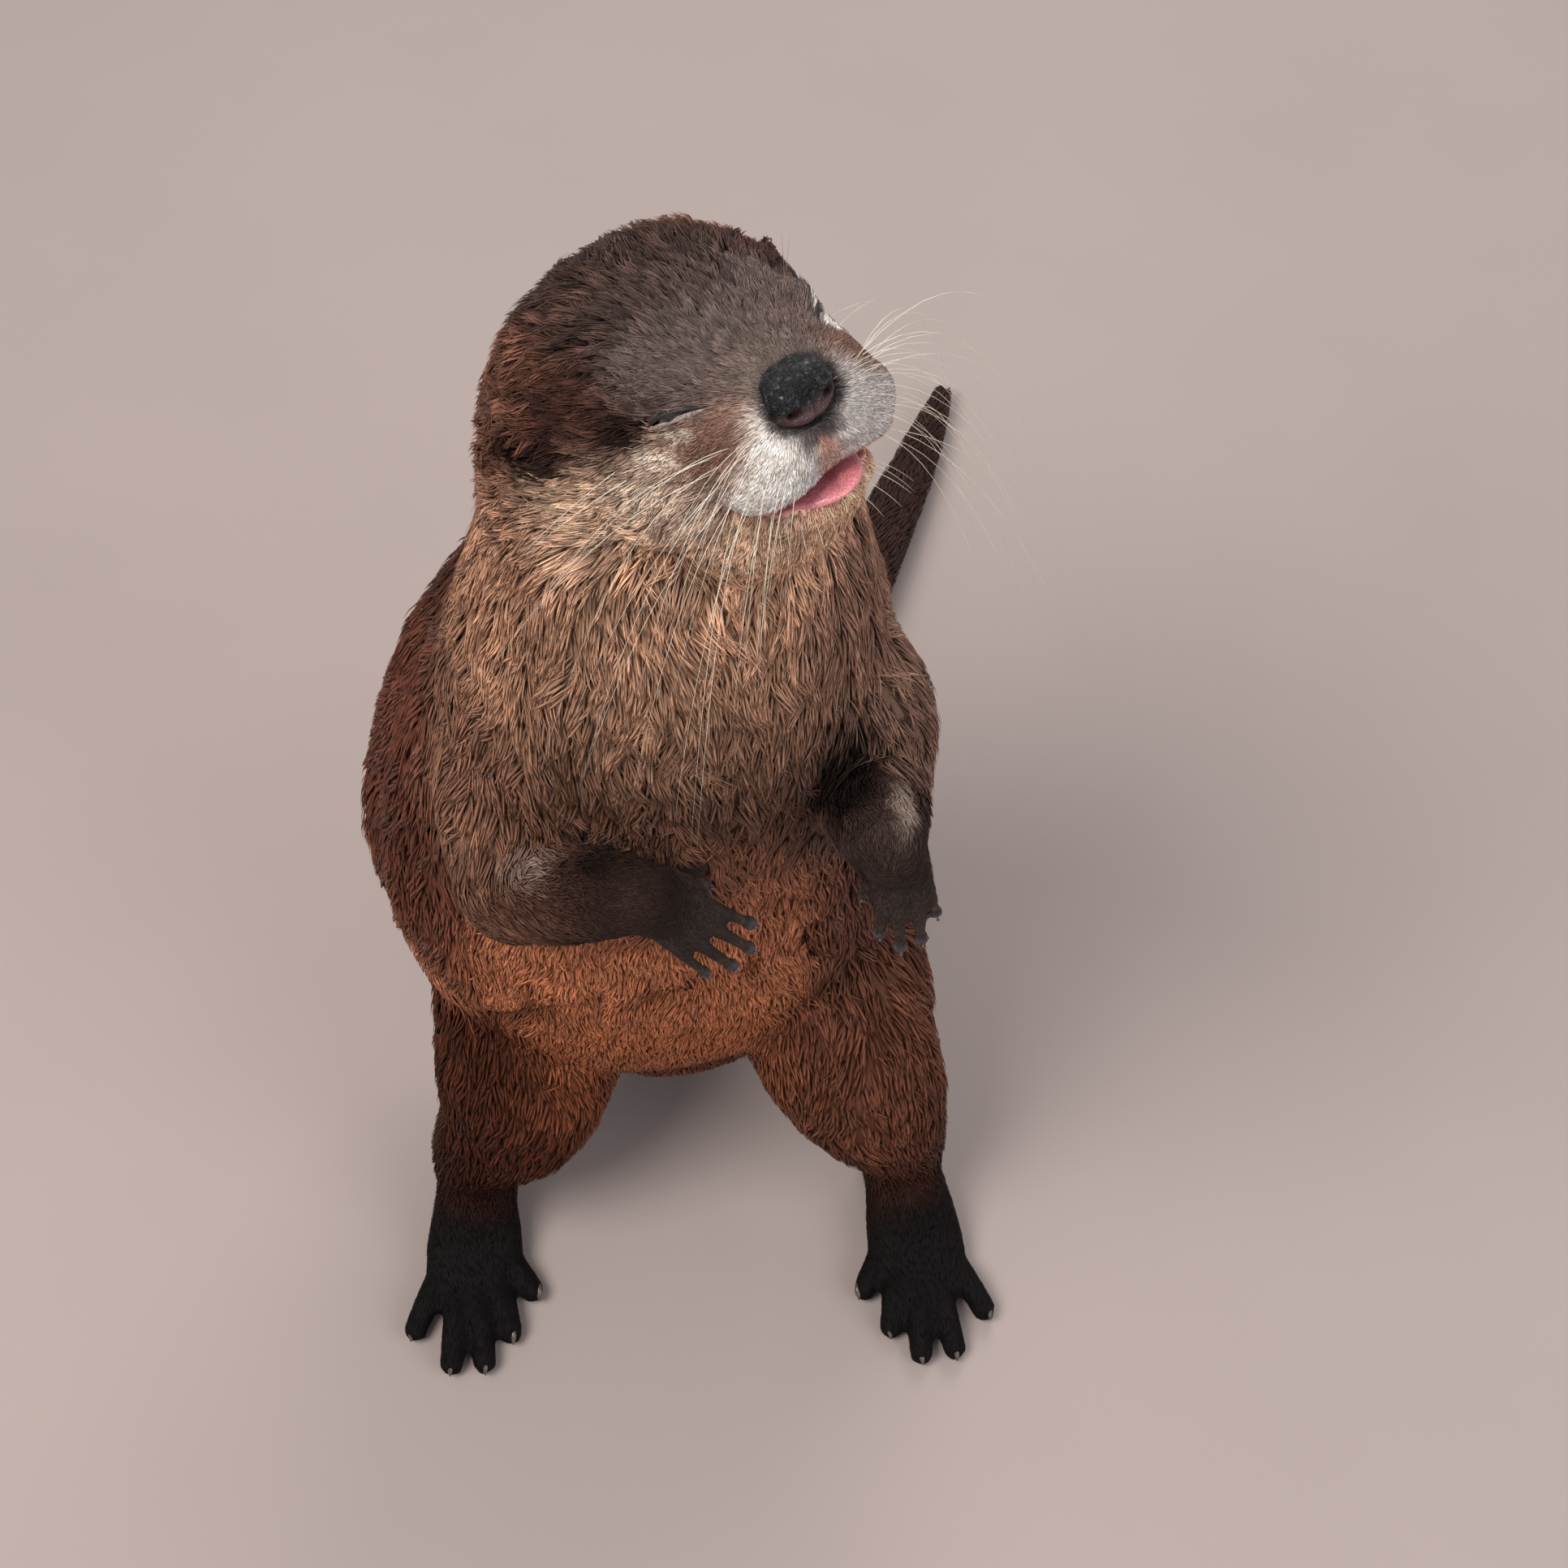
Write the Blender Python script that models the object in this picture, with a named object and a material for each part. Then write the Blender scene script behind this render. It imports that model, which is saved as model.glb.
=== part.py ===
"""A small-clawed otter standing upright on its hind feet, life size, as a still model.

Metres, +Z up.  The otter faces -Y, its left side is at +X, and its feet and tail rest on Z = 0.
The flesh is modelled as rounded tubes and swellings that are fused into solids, and those are
parted with thin cuts into the pieces that a person would name.  The origin ends up under the
middle of the whole model.
"""

import math

import bmesh
import bpy
from mathutils import Matrix, Vector
from mathutils.bvhtree import BVHTree

# ---------------------------------------------------------------- driving dimensions
GAP = 0.0003                   # clearance between neighbouring solids
CUT = 0.0004                   # width of the thin cuts between parts of one limb
RING = 24                      # corners of a tube's cross-section
CORE_VOXEL = 0.0017            # fineness at which the trunk and head are fused
LIMB_VOXEL = 0.0009            # fineness at which the limbs are fused
BLEND_ROUNDS = 70              # how far the trunk's masses melt into each other
FINENESS = 0.0022              # how strongly the head keeps small triangles when thinned out

# The stance: the middle line of the body, from the rump to the skull.
RUMP = Vector((-0.013, 0.048, 0.074))
PELVIS = Vector((-0.015, 0.040, 0.110))
LOINS = Vector((-0.015, 0.034, 0.155))
BELLY = Vector((-0.013, 0.027, 0.205))
CHEST = Vector((-0.006, 0.012, 0.258))
SHOULDERS = Vector((-0.002, 0.002, 0.302))
NECK = Vector((-0.001, 0.002, 0.340))
NAPE = Vector((-0.002, 0.005, 0.370))
# The arched back: a ridge of flesh behind that line, fullest on the right.
BACK_LINE = [Vector((-0.022, 0.052, 0.082)), Vector((-0.038, 0.050, 0.140)),
             Vector((-0.038, 0.053, 0.200)), Vector((-0.024, 0.040, 0.258)),
             Vector((-0.006, 0.018, 0.315)), Vector((-0.002, 0.008, 0.360))]
BACK_WIDTHS = [0.058, 0.070, 0.058, 0.046, 0.038, 0.034]
BACK_DEPTHS = [0.046, 0.053, 0.046, 0.040, 0.035, 0.034]

# The head: the middle of the skull, the way the nose points and the way the crown points.
SKULL = Vector((0.0064, -0.0102, 0.4009))
HEAD_FORWARD = Vector((0.542, -0.661, 0.519))
HEAD_UP = Vector((-0.400, 0.341, 0.851))

# Limbs, given for the right (side -1) and the left (side +1).
SHOULDER_JOINT = {-1: Vector((-0.040, 0.000, 0.276)), 1: Vector((0.038, -0.002, 0.284))}
ELBOW = {-1: Vector((-0.047, -0.034, 0.227)), 1: Vector((0.050, -0.014, 0.250))}
WRIST = {-1: Vector((-0.0095, -0.065, 0.2645)), 1: Vector((0.0545, -0.060, 0.2800))}
FINGERTIP = {-1: Vector((0.0185, -0.056, 0.224)), 1: Vector((0.0580, -0.057, 0.231))}
HIP = {-1: Vector((-0.044, 0.034, 0.108)), 1: Vector((0.030, 0.030, 0.110))}
KNEE = {-1: Vector((-0.0575, -0.004, 0.075)), 1: Vector((0.0475, -0.002, 0.084))}
HOCK = {-1: Vector((-0.0765, -0.012, 0.032)), 1: Vector((0.0665, -0.008, 0.034))}
BALL_OF_FOOT = {-1: Vector((-0.0785, -0.038, 0.0)), 1: Vector((0.0725, -0.034, 0.0))}
CALF_IN = {-1: 0.004, 1: 0.000}                               # fullness inside the calf
FOOT_TURN = {-1: math.radians(0.0), 1: math.radians(10.0)}     # towards the animal's left

# Tail: thick at its root, it lies back along the ground and bends to the left.
TAIL_LINE = [Vector((-0.013, 0.066, 0.064)), Vector((-0.009, 0.102, 0.044)),
             Vector((0.004, 0.142, 0.026)), Vector((0.024, 0.186, 0.0185)),
             Vector((0.047, 0.232, 0.0150)), Vector((0.068, 0.284, 0.0118)),
             Vector((0.085, 0.332, 0.0084)), Vector((0.097, 0.372, 0.0055))]
TAIL_RADII = [0.036, 0.031, 0.0255, 0.0205, 0.0165, 0.0130, 0.0095, 0.0048]

# Digits: (root across, root along, tip across, tip along) from the middle of the palm or the
# ball of the foot, where across points to the thumb or the great toe.
FINGERS = [(0.0065, -0.0060, 0.0145, 0.0030), (0.0062, 0.0030, 0.0098, 0.0180),
           (0.0021, 0.0040, 0.0034, 0.0205), (-0.0023, 0.0040, -0.0032, 0.0200),
           (-0.0066, 0.0020, -0.0096, 0.0160)]
TOES = [(0.0095, 0.0000, 0.0228, 0.0175), (0.0070, 0.0060, 0.0150, 0.0335),
        (0.0020, 0.0090, 0.0062, 0.0445), (-0.0040, 0.0090, -0.0055, 0.0450),
        (-0.0095, 0.0050, -0.0196, 0.0325)]
FINGER_RADIUS = 0.0030
TOE_RADIUS = 0.0042

COAT_BROWN = (0.085, 0.034, 0.020)
BACK_BROWN = (0.060, 0.022, 0.014)
CHEST_TAN = (0.200, 0.100, 0.060)
HEAD_GREY_BROWN = (0.110, 0.062, 0.048)
PAW_BLACK = (0.020, 0.014, 0.013)
NOSE_BLACK = (0.022, 0.020, 0.022)
TONGUE_PINK = (0.420, 0.120, 0.140)
EYE_BLACK = (0.010, 0.006, 0.005)
CHIN_TAN = (0.400, 0.220, 0.150)


# ---------------------------------------------------------------- making and joining meshes
def material(name, colour, roughness):
    """A Principled material of one colour, made once for each name."""
    if name in bpy.data.materials:
        return bpy.data.materials[name]
    made = bpy.data.materials.new(name)
    made.use_nodes = True
    shader = made.node_tree.nodes["Principled BSDF"]
    shader.inputs["Base Color"].default_value = (*colour, 1.0)
    shader.inputs["Roughness"].default_value = roughness
    shader.inputs["Metallic"].default_value = 0.0
    return made


def from_bmesh(name, bm):
    """A new object of a bmesh's shape, with its faces pointing out."""
    bmesh.ops.recalc_face_normals(bm, faces=bm.faces)
    mesh = bpy.data.meshes.new(name)
    bm.to_mesh(mesh)
    bm.free()
    made = bpy.data.objects.new(name, mesh)
    bpy.context.scene.collection.objects.link(made)
    return made


def smooth_line(values, steps):
    """Catmull-Rom points through a list of numbers or vectors, steps to each span."""
    made = []
    for i in range(len(values) - 1):
        before, a = values[max(i - 1, 0)], values[i]
        b, after = values[i + 1], values[min(i + 2, len(values) - 1)]
        for k in range(steps):
            t = k / steps
            made.append(0.5 * (2 * a + (b - before) * t
                               + (2 * before - 5 * a + 4 * b - after) * t * t
                               + (3 * a - before - 3 * b + after) * t * t * t))
    made.append(values[-1])
    return made


def rounded(angle, power):
    """A point of a superellipse of unit half axes: power 2 is round, more is squarer."""
    c, s = math.cos(angle), math.sin(angle)
    return (math.copysign(abs(c) ** (2 / power), c), math.copysign(abs(s) ** (2 / power), s))


def close_loft(bm, rings):
    """Bridges rings of equal length and closes both ends."""
    for low, high in zip(rings, rings[1:]):
        for i in range(len(low)):
            j = (i + 1) % len(low)
            bm.faces.new((low[i], low[j], high[j], high[i]))
    bm.faces.new(rings[0])
    bm.faces.new(rings[-1])


def tube(line, widths, depths, across, steps=4, power=2.0):
    """A closed tube along a line, widths wide along `across` and depths deep the other way."""
    centres = smooth_line(line, steps)
    wide = smooth_line(widths, steps)
    deep = smooth_line(depths, steps)
    bm = bmesh.new()
    rings = []
    for i, centre in enumerate(centres):
        ahead = (centres[min(i + 1, len(centres) - 1)] - centres[max(i - 1, 0)]).normalized()
        side = (across - ahead * across.dot(ahead)).normalized()
        front = ahead.cross(side)
        ring = []
        for k in range(RING):
            c, s = rounded(math.tau * k / RING, power)
            ring.append(bm.verts.new(centre + side * (c * wide[i]) + front * (s * deep[i])))
        rings.append(ring)
    close_loft(bm, rings)
    return from_bmesh("tube", bm)


def swelling(centre, radii, turn=None, detail=3):
    """An ellipsoid: a muscle, a pad or a rounded end."""
    bm = bmesh.new()
    bmesh.ops.create_icosphere(bm, subdivisions=detail, radius=1.0)
    place = Matrix.Translation(centre) @ (turn or Matrix.Identity(4)) @ Matrix.Diagonal((*radii, 1.0))
    bmesh.ops.transform(bm, matrix=place, verts=bm.verts)
    return from_bmesh("swelling", bm)


def evaluated(obj):
    """Applies an object's modifiers to its mesh."""
    bpy.context.view_layer.update()
    graph = bpy.context.evaluated_depsgraph_get()
    mesh = bpy.data.meshes.new_from_object(obj.evaluated_get(graph))
    obj.modifiers.clear()
    obj.data = mesh
    return obj


def join(name, pieces):
    """One object that holds all the pieces' meshes, in world space."""
    bm = bmesh.new()
    for piece in pieces:
        start = len(bm.verts)
        bm.from_mesh(piece.data)
        bm.verts.ensure_lookup_table()
        bmesh.ops.transform(bm, matrix=piece.matrix_world, verts=bm.verts[start:])
        bpy.data.objects.remove(piece)
    mesh = bpy.data.meshes.new(name)
    bm.to_mesh(mesh)
    bm.free()
    made = bpy.data.objects.new(name, mesh)
    bpy.context.scene.collection.objects.link(made)
    return made


def fuse(name, pieces, voxel, rounds):
    """Grows the overlapping pieces into one smooth closed skin."""
    bpy.context.view_layer.update()
    made = join(name, pieces)
    remesh = made.modifiers.new("fuse", "REMESH")
    remesh.mode = "VOXEL"
    remesh.voxel_size = voxel
    smooth = made.modifiers.new("smooth", "SMOOTH")
    smooth.iterations = rounds
    smooth.factor = 0.5
    return evaluated(made)


def thin_out(obj, triangles, keep_fine=None):
    """Reduces a mesh to about that many triangles, with the fine ones where keep_fine says."""
    bm = bmesh.new()
    bm.from_mesh(obj.data)
    bmesh.ops.triangulate(bm, faces=bm.faces)
    bm.to_mesh(obj.data)
    count = len(bm.faces)
    bm.free()
    decimate = obj.modifiers.new("thin out", "DECIMATE")
    decimate.ratio = min(1.0, triangles / count)
    decimate.use_collapse_triangulate = True
    if keep_fine:
        group = obj.vertex_groups.new(name="coarse")
        for v in obj.data.vertices:
            group.add([v.index], 1.0 - 0.9 * keep_fine(v.co), "REPLACE")
        decimate.vertex_group = group.name
        decimate.vertex_group_factor = FINENESS
    evaluated(obj)
    obj.vertex_groups.clear()
    return obj


def copy_of(obj, name):
    made = bpy.data.objects.new(name, obj.data.copy())
    made.matrix_world = obj.matrix_world.copy()
    bpy.context.scene.collection.objects.link(made)
    return made


def boolean(obj, other, operation, keep_other=False):
    cut = obj.modifiers.new("cut", "BOOLEAN")
    cut.object = other
    cut.operation = operation
    cut.solver = "EXACT"
    evaluated(obj)
    if not keep_other:
        bpy.data.objects.remove(other)
    return obj


def grown(obj, by):
    """A copy of a solid with its surface moved out, for cutting a seat with clearance."""
    made = copy_of(obj, "grown")
    bm = bmesh.new()
    bm.from_mesh(made.data)
    bm.normal_update()
    moved = [v.co + v.normal * by for v in bm.verts]
    for v, place in zip(bm.verts, moved):
        v.co = place
    bm.to_mesh(made.data)
    bm.free()
    return made


def half_space(point, normal, reach=0.6):
    """A large block whose flat face passes through the point, on the side the normal points to."""
    bm = bmesh.new()
    bmesh.ops.create_cube(bm, size=reach)
    lift = Matrix.Translation((0, 0, reach / 2))
    turn = Vector(normal).to_track_quat("Z", "Y").to_matrix().to_4x4()
    bmesh.ops.transform(bm, matrix=Matrix.Translation(point) @ turn @ lift, verts=bm.verts)
    return from_bmesh("half space", bm)


def loose_groups(mesh):
    """The mesh's connected pieces as sets of vertex numbers, biggest first."""
    bm = bmesh.new()
    bm.from_mesh(mesh)
    left = set(bm.verts)
    groups = []
    while left:
        edge = [left.pop()]
        group = set(edge)
        while edge:
            v = edge.pop()
            for e in v.link_edges:
                w = e.other_vert(v)
                if w in left:
                    left.discard(w)
                    group.add(w)
                    edge.append(w)
        groups.append({v.index for v in group})
    bm.free()
    return sorted(groups, key=len, reverse=True)


def keep_only(obj, group):
    """Leaves one connected piece of a mesh, tidied and triangulated."""
    bm = bmesh.new()
    bm.from_mesh(obj.data)
    bmesh.ops.delete(bm, geom=[v for v in bm.verts if v.index not in group], context="VERTS")
    bmesh.ops.remove_doubles(bm, verts=bm.verts, dist=0.00002)
    bmesh.ops.dissolve_degenerate(bm, edges=bm.edges, dist=0.00002)
    bmesh.ops.triangulate(bm, faces=bm.faces)
    bm.to_mesh(obj.data)
    bm.free()
    return obj


def largest_piece(obj):
    """Drops crumbs that a cut leaves behind."""
    return keep_only(obj, loose_groups(obj.data)[0])


def split(obj, point, normal, name):
    """Cuts off what lies beyond a plane as a new object, leaving a thin gap."""
    normal = Vector(normal).normalized()
    beyond = copy_of(obj, name)
    boolean(beyond, half_space(point + normal * CUT / 2, -normal), "DIFFERENCE")
    boolean(obj, half_space(point - normal * CUT / 2, normal), "DIFFERENCE")
    return largest_piece(obj), largest_piece(beyond)


def finish(obj, name, look):
    obj.name = name
    obj.data.name = name
    obj.data.materials.clear()
    obj.data.materials.append(look)
    obj.data.shade_smooth()
    obj.data.set_sharp_from_angle(angle=math.radians(40))
    return obj


# ---------------------------------------------------------------- the head, in its own frame
# Its origin is the middle of the skull; forward is -Y, up is +Z, the animal's left is +X.
HEAD_STATIONS = [
    # (forward, top, bottom, half width)
    (0.0480, 0.0060, -0.0135, 0.0120),
    (0.0455, 0.0092, -0.0180, 0.0185),
    (0.0405, 0.0115, -0.0208, 0.0232),
    (0.0330, 0.0138, -0.0225, 0.0250),
    (0.0245, 0.0180, -0.0250, 0.0280),
    (0.0125, 0.0250, -0.0280, 0.0318),
    (0.0000, 0.0295, -0.0305, 0.0365),
    (-0.0170, 0.0330, -0.0315, 0.0400),
    (-0.0320, 0.0308, -0.0310, 0.0383),
    (-0.0445, 0.0240, -0.0270, 0.0328),
    (-0.0535, 0.0110, -0.0180, 0.0215),
]
EYE_FROM = Vector((0.0222, -0.0272, 0.0088))     # where the lids part, on the right
EYE_OUT = Vector((0.62, -0.66, 0.42))            # the way the eye faces
EYE_RADIUS = 0.0050
LID = 0.0007                                     # flesh in front of the eye
EYE_SLIT = 0.0076                                # half the length of the parted lids
NOSE_PLACE = Vector((0.0, -0.0475, 0.0015))
EAR_PLACE = Vector((0.0378, 0.0200, 0.0010))
EAR_SIZE = Vector((0.0098, 0.0062, 0.0088))
MOUTH_LEVEL = -0.0182
UPPER_LIP = 0.0012             # the lips' distances from that level at the front
LOWER_LIP = -0.0050
MOUTH_CORNER = -0.0250         # how far back the lips part, along Y
JAW_HINGE = 0.002


def head_frame():
    """Places the head: its -Y goes to HEAD_FORWARD and its +Z as near as can be to HEAD_UP."""
    ahead = HEAD_FORWARD.normalized()
    up = (HEAD_UP - ahead * HEAD_UP.dot(ahead)).normalized()
    left = up.cross(ahead)
    turn = Matrix((left, -ahead, up)).transposed().to_4x4()
    return Matrix.Translation(SKULL) @ turn


def head_shell():
    """The skull's outline: rings across the head, lofted from the nose to the back."""
    parts = [smooth_line([s[k] for s in HEAD_STATIONS], 3) for k in range(4)]
    bm = bmesh.new()
    rings = []
    for forward, top, bottom, wide in zip(*parts):
        middle, tall = (top + bottom) / 2, (top - bottom) / 2
        ring = []
        for k in range(RING):
            c, s = rounded(math.tau * k / RING, 2.3)
            ring.append(bm.verts.new((c * wide, -forward, middle + s * tall)))
        rings.append(ring)
    close_loft(bm, rings)
    return from_bmesh("head shell", bm)


def head_pieces():
    pieces = [head_shell()]
    for side in (-1, 1):
        pieces += [
            swelling((side * 0.0120, -0.0415, -0.0095), (0.0135, 0.0105, 0.0115)),   # whisker pad
            swelling((side * 0.0200, -0.0060, -0.0135), (0.0175, 0.0240, 0.0170)),   # cheek
            swelling((side * 0.0180, -0.0225, 0.0115), (0.0078, 0.0100, 0.0065)),    # brow
            swelling((side * 0.0095, -0.0300, -0.0262), (0.0085, 0.0135, 0.0052)),   # lower lip
        ]
    pieces.append(swelling((0, -0.0420, 0.0020), (0.0100, 0.0080, 0.0082)))          # nose bridge
    pieces.append(swelling((0, -0.0345, -0.0275), (0.0130, 0.0110, 0.0055)))         # chin
    pieces.append(swelling((0, -0.0080, -0.0310), (0.0270, 0.0270, 0.0170)))         # throat
    return pieces


def mouth_cutter():
    """Opens the lips as a wedge, then runs back and down as a thin cut behind the jaw."""
    thin = CUT / 2
    level, back = MOUTH_LEVEL, JAW_HINGE
    outline = [(-0.070, level + UPPER_LIP * 1.6), (MOUTH_CORNER, level + thin),
               (back + thin, level + thin), (back + thin, -0.120), (back - thin, -0.120),
               (back - thin, level - thin), (MOUTH_CORNER, level - thin),
               (-0.045, level + LOWER_LIP), (-0.070, level + LOWER_LIP * 1.8)]
    bm = bmesh.new()
    face = bm.faces.new([bm.verts.new((-0.08, y, z)) for y, z in outline])
    out = bmesh.ops.extrude_face_region(bm, geom=[face])
    moved = [g for g in out["geom"] if isinstance(g, bmesh.types.BMVert)]
    bmesh.ops.translate(bm, vec=(0.16, 0, 0), verts=moved)
    return from_bmesh("mouth cutter", bm)


def nose_pad():
    """The bare nose: a low rounded lozenge, wider above than below."""
    bm = bmesh.new()
    rings = []
    for k, (forward, size) in enumerate([(0.0, 0.80), (0.0040, 1.0), (0.0065, 0.92), (0.0078, 0.62)]):
        ring = []
        for i in range(16):
            c, s = rounded(math.tau * i / 16, 2.4)
            wide = 0.0088 if s > 0 else 0.0078
            tall = 0.0058 if s > 0 else 0.0068
            ring.append(bm.verts.new(NOSE_PLACE + Vector((c * wide * size, -forward + 0.0035,
                                                          s * tall * size))))
        rings.append(ring)
    close_loft(bm, rings)
    return from_bmesh("nose", bm)


def ear(side):
    """A small round ear: a cup whose hollow faces forward and out."""
    cup = swelling((0, 0, 0), EAR_SIZE, detail=2)
    hollow = swelling((0, -0.0012, 0), EAR_SIZE * 0.74, detail=2)
    boolean(cup, half_space(Vector((0, -0.0008, 0)), (0, -1, 0)), "DIFFERENCE")
    boolean(cup, hollow, "DIFFERENCE")
    turn = Matrix.Rotation(side * math.radians(48), 4, "Z")
    place = Matrix.Translation((side * EAR_PLACE.x, EAR_PLACE.y, EAR_PLACE.z))
    cup.data.transform(place @ turn)
    return cup


def eye(head, frame, side):
    """A ball behind the lids, found by looking in at the head's surface where the lids part."""
    away = Vector((side * EYE_OUT.x, EYE_OUT.y, EYE_OUT.z)).normalized()
    aim = Vector((side * EYE_FROM.x, EYE_FROM.y, EYE_FROM.z)) + away * 0.02
    inverse = frame.inverted()
    tree = BVHTree.FromPolygons([inverse @ v.co for v in head.data.vertices],
                                [tuple(p.vertices) for p in head.data.polygons])
    surface = tree.ray_cast(aim, -away)[0]
    centre = surface - away * (EYE_RADIUS + LID)
    ball = swelling(centre, (EYE_RADIUS,) * 3, detail=2)
    # The parted lids are level in the head's frame, and open outwards like a lens.
    along = away.cross(Vector((0, 0, 1))).normalized()
    turn = Matrix((along, away.cross(along), away)).transposed().to_4x4()
    slit = swelling(surface, (EYE_SLIT, 0.0012, 0.0034), turn, detail=2)
    ball.data.transform(frame)
    slit.data.transform(frame)
    return ball, slit


# ---------------------------------------------------------------- the body
def trunk_pieces():
    across = Vector((1.0, 0.14, 0.0))        # the chest faces a little to the animal's left
    line = [RUMP, PELVIS, LOINS, BELLY, CHEST, SHOULDERS, NECK, NAPE, SKULL]
    widths = [0.052, 0.077, 0.085, 0.078, 0.0670, 0.0590, 0.0500, 0.0460, 0.0360]
    depths = [0.046, 0.062, 0.067, 0.065, 0.0590, 0.0540, 0.0500, 0.0440, 0.0340]
    pieces = [tube(line, widths, depths, across, power=2.15)]
    pieces.append(swelling(RUMP, (0.054, 0.052, 0.046)))
    pieces.append(tube(BACK_LINE, BACK_WIDTHS, BACK_DEPTHS, across))
    for side, out in ((-1, -0.040), (1, 0.034)):
        pieces.append(swelling(PELVIS + Vector((out, 0.008, -0.010)), (0.046, 0.050, 0.052)))
    return pieces


def tail_piece():
    return tube(TAIL_LINE, TAIL_RADII, [r * 0.9 for r in TAIL_RADII], Vector((1, 0, 0)), steps=5)


def digits(middle, ahead, inward, up, table, radius, droop):
    """Fingers or toes: tubes that arch a little, each with a round pad at its tip."""
    pieces = []
    for root_in, root_on, tip_in, tip_on in table:
        root = middle + inward * root_in + ahead * root_on
        tip = middle + inward * tip_in + ahead * tip_on - up * droop
        way = (tip - root).normalized()
        knuckle = (root + tip) / 2 + up * radius * 0.6
        sizes = [radius * 1.2, radius * 1.05, radius * 0.95, radius * 0.7]
        line = [root - way * radius, knuckle, tip - way * radius * 1.2, tip - way * radius * 0.4]
        pieces.append(tube(line, sizes, sizes, inward, steps=3))
        pieces.append(swelling(tip - way * radius * 0.95, (radius * 1.08,) * 3, detail=2))
    return pieces


def arm_pieces(side):
    """Upper arm and forearm, with the limp hand hanging from the wrist."""
    shoulder, elbow, wrist, tip = SHOULDER_JOINT[side], ELBOW[side], WRIST[side], FINGERTIP[side]
    middle = (shoulder + elbow) / 2 + Vector((side * 0.004, 0, 0))
    upper = tube([shoulder, middle, elbow], [0.024, 0.0225, 0.0180], [0.026, 0.0240, 0.0190],
                 Vector((1, 0, 0)))
    halfway = (elbow + wrist) / 2
    fore = tube([elbow, halfway, wrist], [0.0180, 0.0150, 0.0100], [0.0185, 0.0155, 0.0085],
                Vector((1, 0, 0.3)))
    pieces = [upper, fore, swelling(elbow, (0.0185,) * 3)]
    ahead = (tip - wrist).normalized()
    outwards = Vector((0.0, -0.80, 0.60))    # the back of the hand faces forward and up
    back = (outwards - ahead * outwards.dot(ahead)).normalized()
    inward = ahead.cross(back) * side
    palm = tip - ahead * 0.0205
    pieces.append(swelling(wrist, (0.0098, 0.0092, 0.0098)))
    pieces.append(tube([wrist, (wrist + palm) / 2, palm, palm + ahead * 0.004],
                       [0.0088, 0.0092, 0.0096, 0.0080], [0.0080, 0.0068, 0.0054, 0.0040], inward))
    pieces += digits(palm, ahead, inward, back, FINGERS, FINGER_RADIUS, 0.003)
    return pieces


def leg_pieces(side):
    """Thigh, shank and the flat foot with its five spread toes."""
    hip, knee, hock, ball = HIP[side], KNEE[side], HOCK[side], BALL_OF_FOOT[side]
    across = Vector((1, 0, 0))
    thigh = tube([hip, (hip + knee) / 2 + Vector((side * 0.002, 0, 0.002)), knee],
                 [0.042, 0.036, 0.0310], [0.044, 0.039, 0.0310], across)
    calf = (knee + hock) / 2 + Vector((CALF_IN[side], -0.002, 0))
    shank = tube([knee, calf, hock, hock + Vector((0, 0, -0.016))],
                 [0.0310, 0.0265, 0.0170, 0.0145], [0.0310, 0.0250, 0.0185, 0.0170], across)
    pieces = [thigh, shank, swelling(knee, (0.0310, 0.0300, 0.0290))]
    turn = Matrix.Rotation(FOOT_TURN[side], 3, "Z")
    ahead = turn @ Vector((0, -1, 0))
    inward = turn @ Vector((-side, 0, 0))
    up = Vector((0, 0, 1))
    heel = ball - ahead * 0.034 + up * 0.009
    sole = ball + up * 0.006
    pieces.append(tube([heel, (heel + sole) / 2 + up * 0.007, sole + up * 0.001, sole + ahead * 0.014],
                       [0.0115, 0.0140, 0.0170, 0.0155], [0.0110, 0.0150, 0.0095, 0.0055], inward))
    pieces.append(swelling(heel, (0.0120, 0.0125, 0.0105)))
    pieces.append(swelling(sole + ahead * 0.012, (0.0165, 0.0165, 0.0048),
                           turn.to_4x4(), detail=2))
    pieces += digits(ball + up * TOE_RADIUS, ahead, inward, up, TOES, TOE_RADIUS, 0.0)
    return pieces


# ---------------------------------------------------------------- building and parting
def plain_body(place):
    """1 on the trunk, neck and throat, fading to 0 over the face and along the tail."""
    face = SKULL + HEAD_FORWARD.normalized() * 0.020 + HEAD_UP.normalized() * 0.010
    off_face = ((place - face).length - 0.036) / 0.020
    off_tail = (0.112 - place.y) / 0.030
    return max(0.0, min(1.0, off_face, off_tail))


def fine_near_head(place):
    """1 where the core's surface needs small triangles, less on the plain trunk."""
    away = (place - SKULL).length
    return max(0.0, min(1.0, 1.0 - (away - 0.050) / 0.030))


def build_core():
    """Trunk, neck, head and tail as one solid, standing on the ground."""
    head = join("head", head_pieces())
    head.data.transform(head_frame())
    core = fuse("core", [*trunk_pieces(), tail_piece(), head], CORE_VOXEL, 6)
    blend_body(core)
    thin_out(core, 2350, fine_near_head)
    boolean(core, half_space(Vector((0, 0, 0)), (0, 0, -1)), "DIFFERENCE")
    return largest_piece(core)


def blend_body(core):
    """Smooths away the creases where the trunk's masses meet."""
    group = core.vertex_groups.new(name="body")
    for v in core.data.vertices:
        group.add([v.index], plain_body(v.co), "REPLACE")
    blend = core.modifiers.new("blend", "SMOOTH")
    blend.vertex_group = group.name
    blend.factor = 0.5
    blend.iterations = BLEND_ROUNDS
    evaluated(core)
    core.vertex_groups.clear()


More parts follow.
